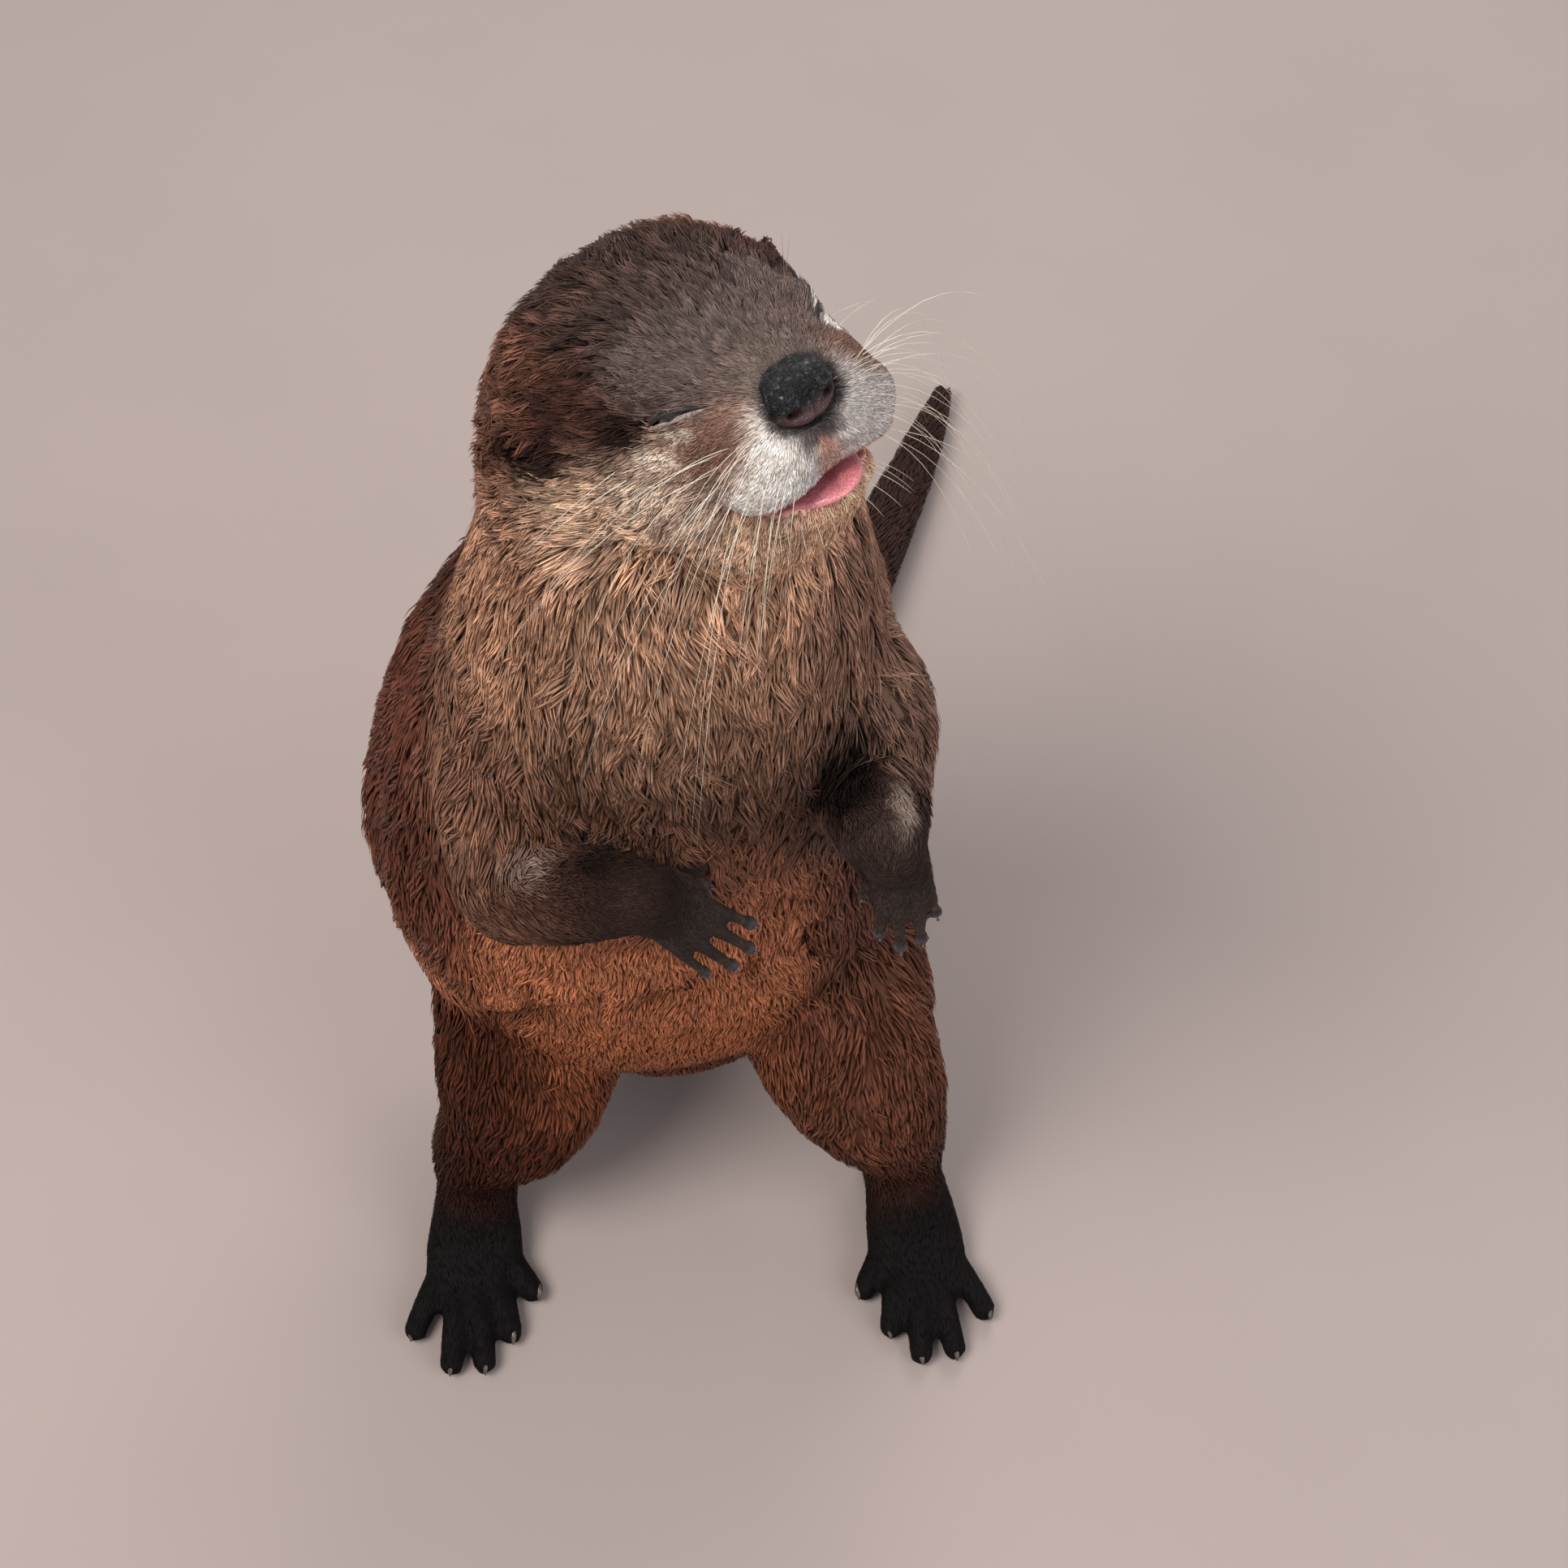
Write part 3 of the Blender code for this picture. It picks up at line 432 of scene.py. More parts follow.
def add_webs(flesh, side):
    """Thin skin between the toes, as far as their last joints."""
    ball, ahead, inward, up = foot_axes(side)
    ends = []
    for root_in, root_on, tip_in, tip_on in TOES:
        across, along = root_in + (tip_in - root_in) * .62, root_on + (tip_on - root_on) * .62
        ends.append(ball + inward * across + ahead * along + up * .0036)
    middle = ball + up * .0040
    for first, second in zip(ends, ends[1:]):
        for k in range(12):
            t = k / 11
            hang = 1 - 0.30 * math.sin(math.pi * t)
            end = middle + (first.lerp(second, t) - middle) * hang
            add_limb(flesh, [middle, end], [.0030, .0012], 0.8)


EAR_MIDDLE = Vector((0.0398, 0.0195, 0.0012))
EAR_FACING = Vector((0.86, -0.46, 0.10))
EAR_LIFT = {-1: 0.0044, 1: 0.0020}        # the left ear is laid flatter


def add_ear_rim(flesh, side):
    """The raised rim round the back of each ear, with a thin wall under it."""
    middle = Vector((side * EAR_MIDDLE.x, EAR_MIDDLE.y, EAR_MIDDLE.z))
    facing = Vector((side * EAR_FACING.x, EAR_FACING.y, EAR_FACING.z)).normalized()
    up = (Vector((0, 0, 1)) - facing * facing.z).normalized()
    behind = up.cross(facing) * side
    line, sizes = [], []
    for k in range(15):
        turn = math.radians(-62 + 190 * k / 14)
        lift = 0.0018 + EAR_LIFT[side] * math.sin(math.pi * k / 14)
        place = middle + behind * math.cos(turn) * .0078 + up * math.sin(turn) * .0084 + facing * lift
        foot = middle + (place - middle) * .75 - facing * (lift + .0010)
        line.append(head(*place))
        add_limb(flesh, [head(*foot), line[-1]], [.0016, .0012], 0.7)
        sizes.append(.0012 + .0010 * math.sin(math.pi * k / 14))
    add_limb(flesh, line, sizes)


def joined_flesh():
    """The solids of flesh as one mesh, each swollen enough to meet its neighbours."""
    flesh = []
    for name in [part for part in FLESH if part not in HANDS]:
        piece = bmesh.new()
        piece.from_mesh(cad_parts[name].data)
        bmesh.ops.remove_doubles(piece, verts=piece.verts, dist=1e-6)
        bmesh.ops.triangulate(piece, faces=piece.faces)
        piece.normal_update()
        places = [v.co + v.normal * CUT_COVER for v in piece.verts]
        flesh.append((np.array(places), np.array([[v.index for v in face.verts] for face in piece.faces])))
        piece.free()
    for name in ("eye_right", "eye_left"):
        low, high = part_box(name)
        add_ball(flesh, (low + high) / 2, (high.x - low.x) / 2 + LID)
    for side in SIDES:
        add_hand(flesh, side)
        add_webs(flesh, side)
        add_ear_rim(flesh, side)
    return stacked("skin", flesh)


def remeshed(skin):
    """One closed surface, finest on the face and the paws."""
    remesh = skin.modifiers.new("remesh", "REMESH")
    remesh.mode = "VOXEL"
    remesh.voxel_size = SKIN_VOXEL
    evaluated(skin)
    edited(skin.data, triangulated)
    smooth_by_place(skin.data)
    thin = skin.modifiers.new("thin", "DECIMATE")
    thin.ratio = min(1.0, SKIN_TRIANGLES / len(skin.data.polygons))
    thin.use_collapse_triangulate = True
    group = skin.vertex_groups.new(name="coarse")
    coarse = 1.0 - 0.92 * fineness(places_of(skin.data))
    for level in range(11):
        chosen = np.nonzero(np.round(coarse * 10).astype(int) == level)[0]
        if len(chosen):
            group.add(chosen.tolist(), max(level / 10, 0.02), "REPLACE")
    thin.vertex_group = group.name
    thin.vertex_group_factor = 0.0015
    evaluated(skin)
    skin.vertex_groups.clear()
    return skin


def fineness(points):
    """1 on the face and the paws, 0 on the plain body."""
    face = np.linalg.norm(points - np.array(head(0, -0.024, -0.006)), axis=1)
    fine = ramp(0.060, 0.034, face)
    for place, reach in ((stance(.002, -.062, .246), .034), (stance(.056, -.060, .256), .034),
                         (stance(-.079, -.060, .006), .032), (stance(.077, -.056, .006), .032)):
        away = np.linalg.norm(points - np.array(place), axis=1)
        fine = np.maximum(fine, 0.9 * ramp(reach, reach * 0.7, away))
    return fine


def smooth_by_place(mesh):
    """Smooths facets away: more on the body, less on the face, least on ears and paws."""
    places, edges = places_of(mesh), edges_of(mesh)
    keep = fineness(places)[:, None]
    rounds = max(4, round(32 * (0.75 * MM / SKIN_VOXEL) ** 2))
    for turn in range(rounds):
        smoother = averaged(places, edges, 1)
        share = np.where(turn < 2, 1.0, 1.0 - 0.93 * keep)
        places = places + (smoother - places) * share
    set_places(mesh, places)


# ---------------------------------------------------------------- fields over the skin
def beside(points, start, way, low=0.0):
    """How far along a line each point is, and how far off it; low is before the line's start."""
    along = np.clip((points - start) @ way / max(way @ way, 1e-12), low, 1)
    return along, np.linalg.norm(points - start - along[:, None] * way, axis=1)


def nearness(points, zone):
    """How little a zone reaches points: 0 on its line, more with distance."""
    _, off = beside(points, zone.start, zone.end - zone.start)
    return 2.2 * (off / zone.reach) ** 2


ELBOW = {-1: Vector((-0.047, -0.034, 0.227)), 1: Vector((0.050, -0.014, 0.250))}
ARM_APART = 9.0                # how much the trunk's zones are kept off the arms


def on_arm(points):
    """1 on the forearms and the hands, 0 on the trunk beside them."""
    gap = np.full(len(points), 1.0)
    for side in SIDES:
        knuckle, tip = (stance(*(v * MM for v in place)) for place in DIGITS[side][2])
        wrist = STANCE + WRIST[side]
        line = ((STANCE + ELBOW[side], wrist, .0160, .0100), (wrist, knuckle, .0105, .0120),
                (knuckle, tip, .0125, .0110))
        for start, end, first, last in line:
            along, off = beside(points, np.array(start), np.array(end - start))
            gap = np.minimum(gap, off - first - (last - first) * along)
    return ramp(0.0035, 0.0010, gap)


def blended(points):
    """The zones' shares of each point, as an array of points by zones."""
    far = np.stack([nearness(points, zone) for zone in ZONES], 1)
    trunk = np.array([zone.piece in TRUNK for zone in ZONES])
    far += ARM_APART * on_arm(points)[:, None] * trunk
    share = np.exp(far.min(1, keepdims=True) - far)
    return share / share.sum(1, keepdims=True)


def lie_of_hair(points, share):
    """The way the coat runs, before it is laid on the surface."""
    lie = np.zeros_like(points)
    for k, zone in enumerate(ZONES):
        if zone.away is None:
            way = unit((zone.end - zone.start)[None])
        else:
            way = unit(points - zone.away)
        lie += share[:, k:k + 1] * way
    return lie


# ---------------------------------------------------------------- marks on the coat
class Mark:
    """A stretch of the head with a colour, on both sides or on the given ones: mostly its own colour, for
    a few painted shade or a painted highlight.
    """

    def __init__(self, middle, radii, colour, strength=1.0, bare=0.0, sides=SIDES):
        self.middle, self.radii, self.sides = np.array(middle), np.array(radii), sides
        self.colour, self.strength, self.bare = np.array(colour), strength, bare

    def cover(self, places):
        """How much the mark covers head places, with a ragged edge."""
        found = np.zeros(len(places))
        for side in self.sides:
            apart = (places - self.middle * np.array((side, 1, 1))) / self.radii
            far = np.linalg.norm(apart, axis=1) + 0.16 * wavy(places, 900.0, self.middle[1] * 400)
            found = np.maximum(found, ramp(1.25, 0.70, far))
        return found * self.strength


HEAD_MARKS_AND_PAINTED_LIGHT = (
    Mark((.0278, -.0185, .007), (.0045, .0075, .0034), (.018, .008, .006), .92),  # beside the eye
    Mark((.0225, -.0285, .0112), (.003, .0085, .0018), (.04, .024, .02), .75),  # above the lids
    Mark((.0222, -.0318, .0046), (.002, .007, .0016), (.6, .49, .4), .75),  # below the lids
    # Pale fur below the left lids, whiter than the right side's as a painted highlight.
    Mark((.0212, -.0342, .0066), (.0036, .0072, .0046), (.96, .9, .83), .95, 0, (1,)),
    Mark((.0268, -.025, 0), (.0024, .013, .0026), (.7, .56, .45), .8),  # over the cheek
    Mark((.019, -.0425, .003), (.005, .005, .0045), (.2, .105, .078), .75),  # side of the snout
    Mark((.0225, -.0365, -.001), (.0035, .004, .0035), (.22, .12, .086), .6),
    # Dark bare skin in the ear, deepened to near black as painted shade in its hollow.
    Mark((.0398, .0158, .0004), (.0056, .0066, .0076), (.002, .001, .0008), 1, .95),  # in the ear
    Mark((.038, .0075, -.001), (.0052, .0066, .0058), (.01, .004, .003), .92),  # before the ear
    Mark((.041, .0175, -.015), (.005, .007, .0036), (.4, .255, .185), .85),  # below the ear
    # Under the nose, in the cleft and on the lower lip, each once:
    Mark((0, -.0505, -.0062), (.0062, .005, .0022), (.06, .045, .046), .85, .3, (1,)),
    Mark((0, -.0505, -.01), (.0016, .0045, .0035), (.6, .3, .24), .8, .5, (1,)),
    Mark((0, -.0455, -.0238), (.016, .009, .0026), (.96, .6, .42), .95, .3, (1,)),
)
# The same on the body, in stance places: (middle, radii, colour, strength). Three are painted shadow by
# the arms and two are painted highlights on the forearms.
BODY_MARKS_AND_PAINTED_LIGHT = (
    # Painted shadow above the right forearm, and painted shade inside the left arm where it meets the
    # chest.
    ((-.029, -.047, .269), (.017, .012, .0075), (.008, .005, .004), .95),  # above the right forearm
    ((.044, -.034, .282), (.011, .016, .02), (.006, .004, .003), .95),  # inside the left arm
    # Painted highlights: the lit tops of the forearms, paler than their fur.
    ((.059, -.048, .2835), (.0034, .0125, .012), (.4, .3, .25), .7),  # left forearm
    ((-.044, -.045, .253), (.0075, .009, .005), (.3, .205, .17), .75),  # right forearm
    # Painted shadow on the chest under the right forearm.
    ((-.03, -.056, .236), (.016, .009, .009), (.03, .01, .006), .8),  # under it
    ((-.085, -.005, .138), (.02, .03, .02), (.42, .155, .078), .85),  # the flank's lower edge
)
# The mouth's lining: the roof darkened as painted shade, the floor in its lighter colour.
MOUTH_ROOF_PAINTED_SHADE = np.array((0.170, 0.032, 0.036))
MOUTH_FLOOR = np.array((0.560, 0.230, 0.190))
LIP_PINK = np.array((0.620, 0.300, 0.240))
FINGER_TAN = np.array((0.150, 0.092, 0.060))
PAD_GREY = np.array((0.052, 0.046, 0.052))
SOLE_GREY = np.array((0.045, 0.028, 0.027))
NOSE_RIM = np.array((0.050, 0.038, 0.038))


def mouth_cover(places, normals):
    """How much head places are inside the lips: on the roof and on the floor of the mouth."""
    back = -0.0250
    roof = MOUTH_LEVEL + (back - places[:, 1]) * 0.043
    floor = MOUTH_LEVEL - (back - places[:, 1]) * 0.250
    up = ramp(-0.25, -0.65, normals[:, 2]) * ramp(.0016, .0006, np.abs(places[:, 2] - roof))
    down = ramp(0.25, 0.65, normals[:, 2]) * ramp(.0022, .0009, np.abs(places[:, 2] - floor))
    inside = ramp(-.0190, -.0230, places[:, 1]) * ramp(.0210, .0180, np.abs(places[:, 0]))
    return up * inside, down * inside


FOLD_LEVEL = 0.1720             # above the floor: where the belly folds over itself
FOLD_SLANT = 0.25               # it rises towards the left flank and drops round the right one
FOLD_DROP = 8.0
FOLD_DEPTH = 4.2 * MM
# How much painted shade darkens the fold, and how much a painted highlight lightens its rim.
FOLD_PAINTED_SHADE = 0.62
FOLD_PAINTED_HIGHLIGHT = 0.30


def fold_height(points):
    """Heights above the edge of the belly's fold."""
    across = points[:, 0] - STANCE.x
    edge = FOLD_LEVEL + FOLD_SLANT * across - FOLD_DROP * np.minimum(across + 0.02, 0) ** 2
    return points[:, 2] - STANCE.z - edge


def faces_forward(points, normals):
    """1 on the front of the belly, 0 on the sides, the limbs and the back."""
    across = points[:, 0] - STANCE.x
    ahead = ramp(-0.008, -0.020, points[:, 1] - STANCE.y)
    return ramp(-0.10, -0.60, normals[:, 1]) * ramp(.105, .070, np.abs(across + .012)) * ahead


def belly_fold(points, normals):
    """How far the skin sinks under the belly's fold, and how far it swells above it."""
    above = fold_height(points)
    sink = np.exp(-((above + .0070) / .0055) ** 2) - 0.55 * np.exp(-((above - .0050) / .0060) ** 2)
    return faces_forward(points, normals) * sink * FOLD_DEPTH


def coloured(points, normals, share):
    """The coat's colour over the skin, with painted shade and highlights by the arms, in the belly's fold
    and on the roof of the mouth, and how bare the skin is there.
    """
    colour = share @ np.stack([zone.values[COLOUR] for zone in ZONES])
    places, facing = to_head(points), normals @ np.array(HEAD_INVERSE)[:3, :3].T
    patchy = 1 + 0.10 * wavy(points, 55.0)[:, None] + 0.08 * wavy(points, 160.0, 3.0)[:, None]
    colour = colour * patchy
    bare = np.zeros(len(points))
    for mark in HEAD_MARKS_AND_PAINTED_LIGHT:
        cover = mark.cover(places)
        colour += (mark.colour - colour) * cover[:, None]
        bare = np.maximum(bare, cover * mark.bare)
    stood = points - np.array(STANCE)
    # Each body mark's colour, painted shadow and painted highlights among them.
    for middle, radii, own, strength in BODY_MARKS_AND_PAINTED_LIGHT:
        far = np.linalg.norm((stood - np.array(middle)) / np.array(radii), axis=1)
        cover = ramp(1.25, 0.55, far + 0.14 * wavy(stood, 300.0, middle[2] * 90)) * strength
        colour += (np.array(own) - colour) * cover[:, None]
    above, front = fold_height(points), faces_forward(points, normals)
    # Painted shade under the belly's fold and a painted highlight along its rim, over the fold's real
    # sinking of the skin.
    under = ramp(.0040, -.0050, np.abs(above + .0075) - .0045) * front
    rim = np.exp(-((above - .0030) / .0045) ** 2) * front
    colour *= 1 - FOLD_PAINTED_SHADE * under[:, None] + FOLD_PAINTED_HIGHLIGHT * rim[:, None]
    roof, floor = mouth_cover(places, facing)
    # Painted shade on the roof of the mouth.
    colour += (MOUTH_ROOF_PAINTED_SHADE - colour) * roof[:, None]
    colour += (MOUTH_FLOOR - colour) * floor[:, None]
    inside = np.maximum(roof, floor)
    edge = ramp(0.0, 0.35, inside) * ramp(0.95, 0.6, inside)
    colour += (LIP_PINK - colour) * 0.7 * edge[:, None]
    for side in SIDES:
        for root, tip, _, _ in digits(side):
            along, off = beside(points, np.array(root), np.array(tip - root), -0.3)
            near = ramp(.0050, .0030, off) * ramp(-0.3, 0.1, along)
            tan = ramp(.0030, .0012, off) * ramp(-0.2, 0.3, along) * ramp(0.88, 0.74, along)
            tan = tan * ramp(-0.9, 0.6, wavy(points, 900.0, 4.0)) * 0.85
            colour += (FINGER_TAN - colour) * tan[:, None]
            tip_pad = near * ramp(0.82, 0.90, along)
            colour += (PAD_GREY - colour) * tip_pad[:, None]
            bare = np.maximum(bare, tip_pad)
    sole = ramp(0.0055, 0.0035, points[:, 2]) * ramp(-0.45, -0.75, normals[:, 2])
    colour += (SOLE_GREY - colour) * sole[:, None]
    pad = np.linalg.norm((places - np.array(NOSE_MIDDLE)) / np.array((.0082, .0090, .0068)), axis=1)
    bare = np.maximum.reduce([bare, inside, sole, ramp(1.06, 0.92, pad)])
    colour += (NOSE_RIM - colour) * ramp(1.35, 1.00, pad)[:, None]
    return np.clip(colour, 0.001, 1), bare


# ---------------------------------------------------------------- the eyes' places
NOSE_MIDDLE = (0.0, -0.0475, 0.0022)
LIDS_INNER = np.array((0.0172, -0.0372, 0.0084))
LIDS_OUTER = np.array((0.0262, -0.0228, 0.0066))
LIDS_ARCH = 0.0007
EYE_RADIUS = 0.0050
EYE_REACH = 0.014              # nothing of the eye is farther than this from its middle
OPENING_DEPTH = 0.0024         # how far the gap between the lids is sunk


class Lids:
    """Where one eye's lids part, in the model's places.  Along runs from 0, inside, to 1, outside."""

    def __init__(self, side):
        mirror = np.array((side, 1, 1))
        turn = np.array(HEAD)[:3, :3]
        self.side = side
        self.inner = np.array(head(*(LIDS_INNER * mirror)))
        self.outer = np.array(head(*(LIDS_OUTER * mirror)))
        self.out = unit((turn @ (np.array((0.66, -0.60, 0.44)) * mirror))[None])[0]
        self.way = self.outer - self.inner
        across = np.cross(self.out, self.way / np.linalg.norm(self.way))
        self.lift = across * np.sign(across @ (turn @ np.array((0, 0, 1.0))))

    def middle(self, along):
        """The line that the lids close on."""
        along = np.atleast_1d(along)[:, None]
        return self.inner + self.way * along + self.lift * LIDS_ARCH * np.sin(math.pi * along)

    @staticmethod
    def opening(along):
        """Half the gap between the lids: a squint, widest towards the ear."""
        shape = np.clip(np.sin(math.pi * np.clip(along, 0, 1) ** 1.5), 0, 1)
        return 0.00006 + 0.00044 * shape ** 1.3

    def measured(self, points):
        """Places along the lids and heights above the line that they close on."""
        along = (points - self.inner) @ self.way / (self.way @ self.way)
        above = (points - self.middle(along)) @ self.lift
        return along, above


LIDS = {side: Lids(side) for side in SIDES}


def subdivided_near(mesh, places, reach):
    """Splits the edges near some places, so that fine shapes can be made there."""
    def split(bm):
        near = [edge for edge in bm.edges
                if min((edge.verts[0].co - place).length for place in places) < reach]
        bmesh.ops.subdivide_edges(bm, edges=near, cuts=1, smooth=0.6)
        triangulated(bm)

    edited(mesh, split)


def drawn_in(places, normals, depth, edges):
    """The skin under the coat, with the lids' opening sunk over each eye."""
    smooth = unit(averaged(normals, edges, 6))
    fine = unit(averaged(normals, edges, 2))
    keep = fineness(places)[:, None]
    depth = depth + belly_fold(places, smooth)
    places = places - (smooth * (1 - keep) + fine * keep) * depth[:, None]
    places[:, 2] = np.maximum(places[:, 2], 0.0)
    for lids in LIDS.values():
        along, above = lids.measured(places)
        near = np.linalg.norm(places - lids.middle(0.5), axis=1) < EYE_REACH
        inside = near & (along > 0.0) & (along < 1.0) & (np.abs(above) < lids.opening(along) + .0002)
        places[inside] -= lids.out * OPENING_DEPTH
    return places


def unwrapped(obj):
    """Lays the surface out flat as the map OFBake."""
    bpy.ops.object.select_all(action="DESELECT")
    obj.select_set(True)
    bpy.context.view_layer.objects.active = obj
    bpy.ops.object.mode_set(mode="EDIT")
    bpy.ops.mesh.select_all(action="SELECT")
    bpy.ops.uv.smart_project(angle_limit=1.15, island_margin=0.002, scale_to_bounds=True)
    bpy.ops.object.mode_set(mode="OBJECT")
    obj.data.uv_layers[0].name = "OFBake"


class Surface:
    """The finished skin, with what the coat needs to know of it."""

    def __init__(self, obj):
        mesh = obj.data
        centres = [lids.middle(0.5)[0] for lids in LIDS.values()]
        subdivided_near(mesh, [Vector(c) for c in centres], 0.0105)
        subdivided_near(mesh, [Vector(c) for c in centres], 0.0095)
        edges = edges_of(mesh)
        places, normals = places_of(mesh), normals_of(mesh)
        share = blended(places)
        fields = share @ np.stack([zone.values for zone in ZONES])
        colour, bare = coloured(places, normals, share)
        depth = fields[:, DEPTH] * (1 - bare) * ramp(0.0, 0.004, places[:, 2])
        set_places(mesh, drawn_in(places, normals, depth, edges))
        unwrapped(obj)
        self.obj, self.places, self.normals = obj, places_of(mesh), normals_of(mesh)
        self.faces = triangles_of(mesh)
        self.share, self.fields, self.colour, self.bare = share, fields, colour, bare
        self.uv = read(mesh.uv_layers["OFBake"].data, "uv", 2, np.float32).reshape(-1, 3, 2)
        self.tree = BVHTree.FromPolygons(self.places.tolist(), self.faces.tolist(), all_triangles=True)
        add_values(mesh, "coat", np.column_stack([colour, np.ones(len(colour))]))
        add_values(mesh, "bare", bare)

    def laid(self, points):
        """The nearest places on the skin, and the way that the skin faces there."""
        found = np.empty((len(points), 3))
        facing = np.empty((len(points), 3))
        for k, point in enumerate(points.tolist()):
            place, normal, _, _ = self.tree.find_nearest(point)
            found[k], facing[k] = place, normal
        return found, facing


# ---------------------------------------------------------------- the coat
LOCKS = 138_000
PIECE_LIMIT = 190_000          # triangles in one piece of coat
BAKE_PATCH = 0.003             # how wide each lock's patch is on the map
LONG_LOCK = 3.4 * MM           # from here on a lock has two rings
FINEST_HAIR = 0.12 * MM
LOCKS_IN_TUFT = 13
TUFT_TURN = 0.28               # how much tufts differ in way and in height
TUFT_RISE = 0.45
RINGS_AT = (0.34, 0.70, 1.0)   # along a lock; the last is its tip
LOCK_RIDGE = 0.22              # height of a lock's ridge for its width


class Roots:
    """Where the locks grow, and what the skin says of each of them."""

    def __init__(self, surface, rng):
        corner = surface.places[surface.faces]
        first, second = corner[:, 1] - corner[:, 0], corner[:, 2] - corner[:, 0]
        size = np.linalg.norm(np.cross(first, second), axis=1) / 2
        wanted = surface.fields[surface.faces][:, :, SHARE].mean(1) * size * 1e6
        wanted *= np.clip(1.15 - 1.15 * surface.bare[surface.faces].mean(1), 0, 1)
        for lids in LIDS.values():
            along, above = lids.measured(corner.mean(1))
            near = np.linalg.norm(corner.mean(1) - lids.middle(0.5), axis=1) < EYE_REACH
            gap = lids.opening(along) + 0.0009
            wanted[near & (along > 0.02) & (along < 0.98) & (np.abs(above) < gap)] = 0
        total = np.cumsum(wanted)
        count = int(min(LOCKS, total[-1]))
        picks = (np.arange(count) + rng.random(count)) * total[-1] / count
        self.face = np.minimum(np.searchsorted(total, picks), len(total) - 1)
        a, b = rng.random((2, count))
        over = a + b > 1
        a[over], b[over] = 1 - a[over], 1 - b[over]
        self.weight = np.stack([1 - a - b, a, b], 1)
        self.count = count
        self.place = self.mixed(surface, surface.places)
        self.normal = unit(self.mixed(surface, surface.normals))
        self.fields = self.mixed(surface, surface.fields)
        self.colour = self.mixed(surface, surface.colour)
        self.uv = (surface.uv[self.face] * self.weight[:, :, None]).sum(1)
        share = self.mixed(surface, surface.share)
        self.zone = share.argmax(1)
        self.flow = self.combed(share, rng)

    def mixed(self, surface, values):
        return (values[surface.faces[self.face]] * self.weight[:, :, None]).sum(1)

    def combed(self, share, rng):
        """The way each lock runs along the skin, with swirls and stray hairs."""
        lie = lie_of_hair(self.place, share)
        lie -= self.normal * (lie * self.normal).sum(1, keepdims=True)
        lie = unit(lie)
        near_face = ramp(0.075, 0.035, np.linalg.norm(to_head(self.place) - np.array(NOSE_TIP), axis=1))
        turn = 0.34 * wavy(self.place, 130.0, 5.0) + 0.16 * wavy(self.place, 420.0, 1.0)
        turn = turn * (1 - 0.55 * near_face) + rng.normal(0, 0.13, self.count)
        turn += np.where(rng.random(self.count) < 0.05, rng.normal(0, 0.5, self.count), 0)
        across = np.cross(self.normal, lie)
        return lie * np.cos(turn)[:, None] + across * np.sin(turn)[:, None]


def gathered(roots, rng):
    """For each lock, the lock that it gathers towards."""
    group = np.nonzero(rng.random(roots.count) < 1 / LOCKS_IN_TUFT)[0]
    tree = kdtree.KDTree(len(group))
    for k, place in enumerate(roots.place[group].tolist()):
        tree.insert(place, k)
    tree.balance()
    nearest = np.array([tree.find(place)[1] for place in roots.place.tolist()])
    return group[nearest]


def lock_shapes(surface, roots, rng):
    """The rings of every lock: places along it, widths and heights over the skin."""
    depth, length, width, clump = (roots.fields[:, k] for k in (DEPTH, LENGTH, WIDTH, CLUMP))
    length = length * np.clip(rng.normal(1.0, 0.20, roots.count), 0.5, 1.6)
    width = np.maximum(width * rng.uniform(0.70, 1.35, roots.count), FINEST_HAIR)
    leader = gathered(roots, rng)
    apart = roots.place - roots.place[leader]
    clump = clump * ramp(0.010, 0.004, np.linalg.norm(apart, axis=1)) * rng.uniform(0.6, 1.0, roots.count)
    lead = unit(roots.flow * (1 - clump[:, None]) + roots.flow[leader] * clump[:, None])
    # Each tuft has a way and a height of its own.
    turn = (TUFT_TURN * clump * rng.normal(0, 1, roots.count)[leader])[:, None]
    lead = lead * np.cos(turn) + np.cross(roots.normal, lead) * np.sin(turn)
    tall = depth * rng.uniform(0.55, 1.05, roots.count)
    tall *= 1 + TUFT_RISE * clump * rng.normal(0, 1, roots.count).clip(-1.5, 1.5)[leader]
    rings = []
    for t in RINGS_AT:
        drawn = clump * t ** 1.5
        bare_way = roots.place + lead * (length * t)[:, None] - apart * drawn[:, None]
        place, facing = surface.laid(bare_way)
        rise = tall * (1 - (1 - t) ** 1.6)
        place = place + facing * rise[:, None]
        place[:, 2] = np.maximum(place[:, 2], 0.0003)
        rings.append((place, facing))
    return rings, length, width, leader


RING_SIZE = (1.0, 0.72)        # of the width, at the first and the second ring


def ring_rows(before, ring, after, width, size, along):
    """Left, right and ridge of the locks at a ring: each row is places, side and part along."""
    place, facing = ring
    across = unit(np.cross(facing, unit(after - before)))
    wide = across * (width * size / 2)[:, None]
    ridge = place + facing * (width * size * LOCK_RIDGE)[:, None]
    return [(place + wide, -1.0, along), (place - wide, 1.0, along), (ridge, 0.0, along)]


# Triangles of a lock's rows: its root, left, right and ridge of each ring, and its tip.
SHORT_LOCK_FACES = ((0, 3, 1), (0, 2, 3), (0, 1, 2), (4, 1, 3), (4, 3, 2), (4, 2, 1))
LONG_LOCK_FACES = ((0, 3, 1), (0, 2, 3), (0, 1, 2), (1, 3, 6), (1, 6, 4), (3, 2, 5), (3, 5, 6), (2, 1, 4),
              (2, 4, 5), (7, 4, 6), (7, 6, 5), (7, 5, 4))


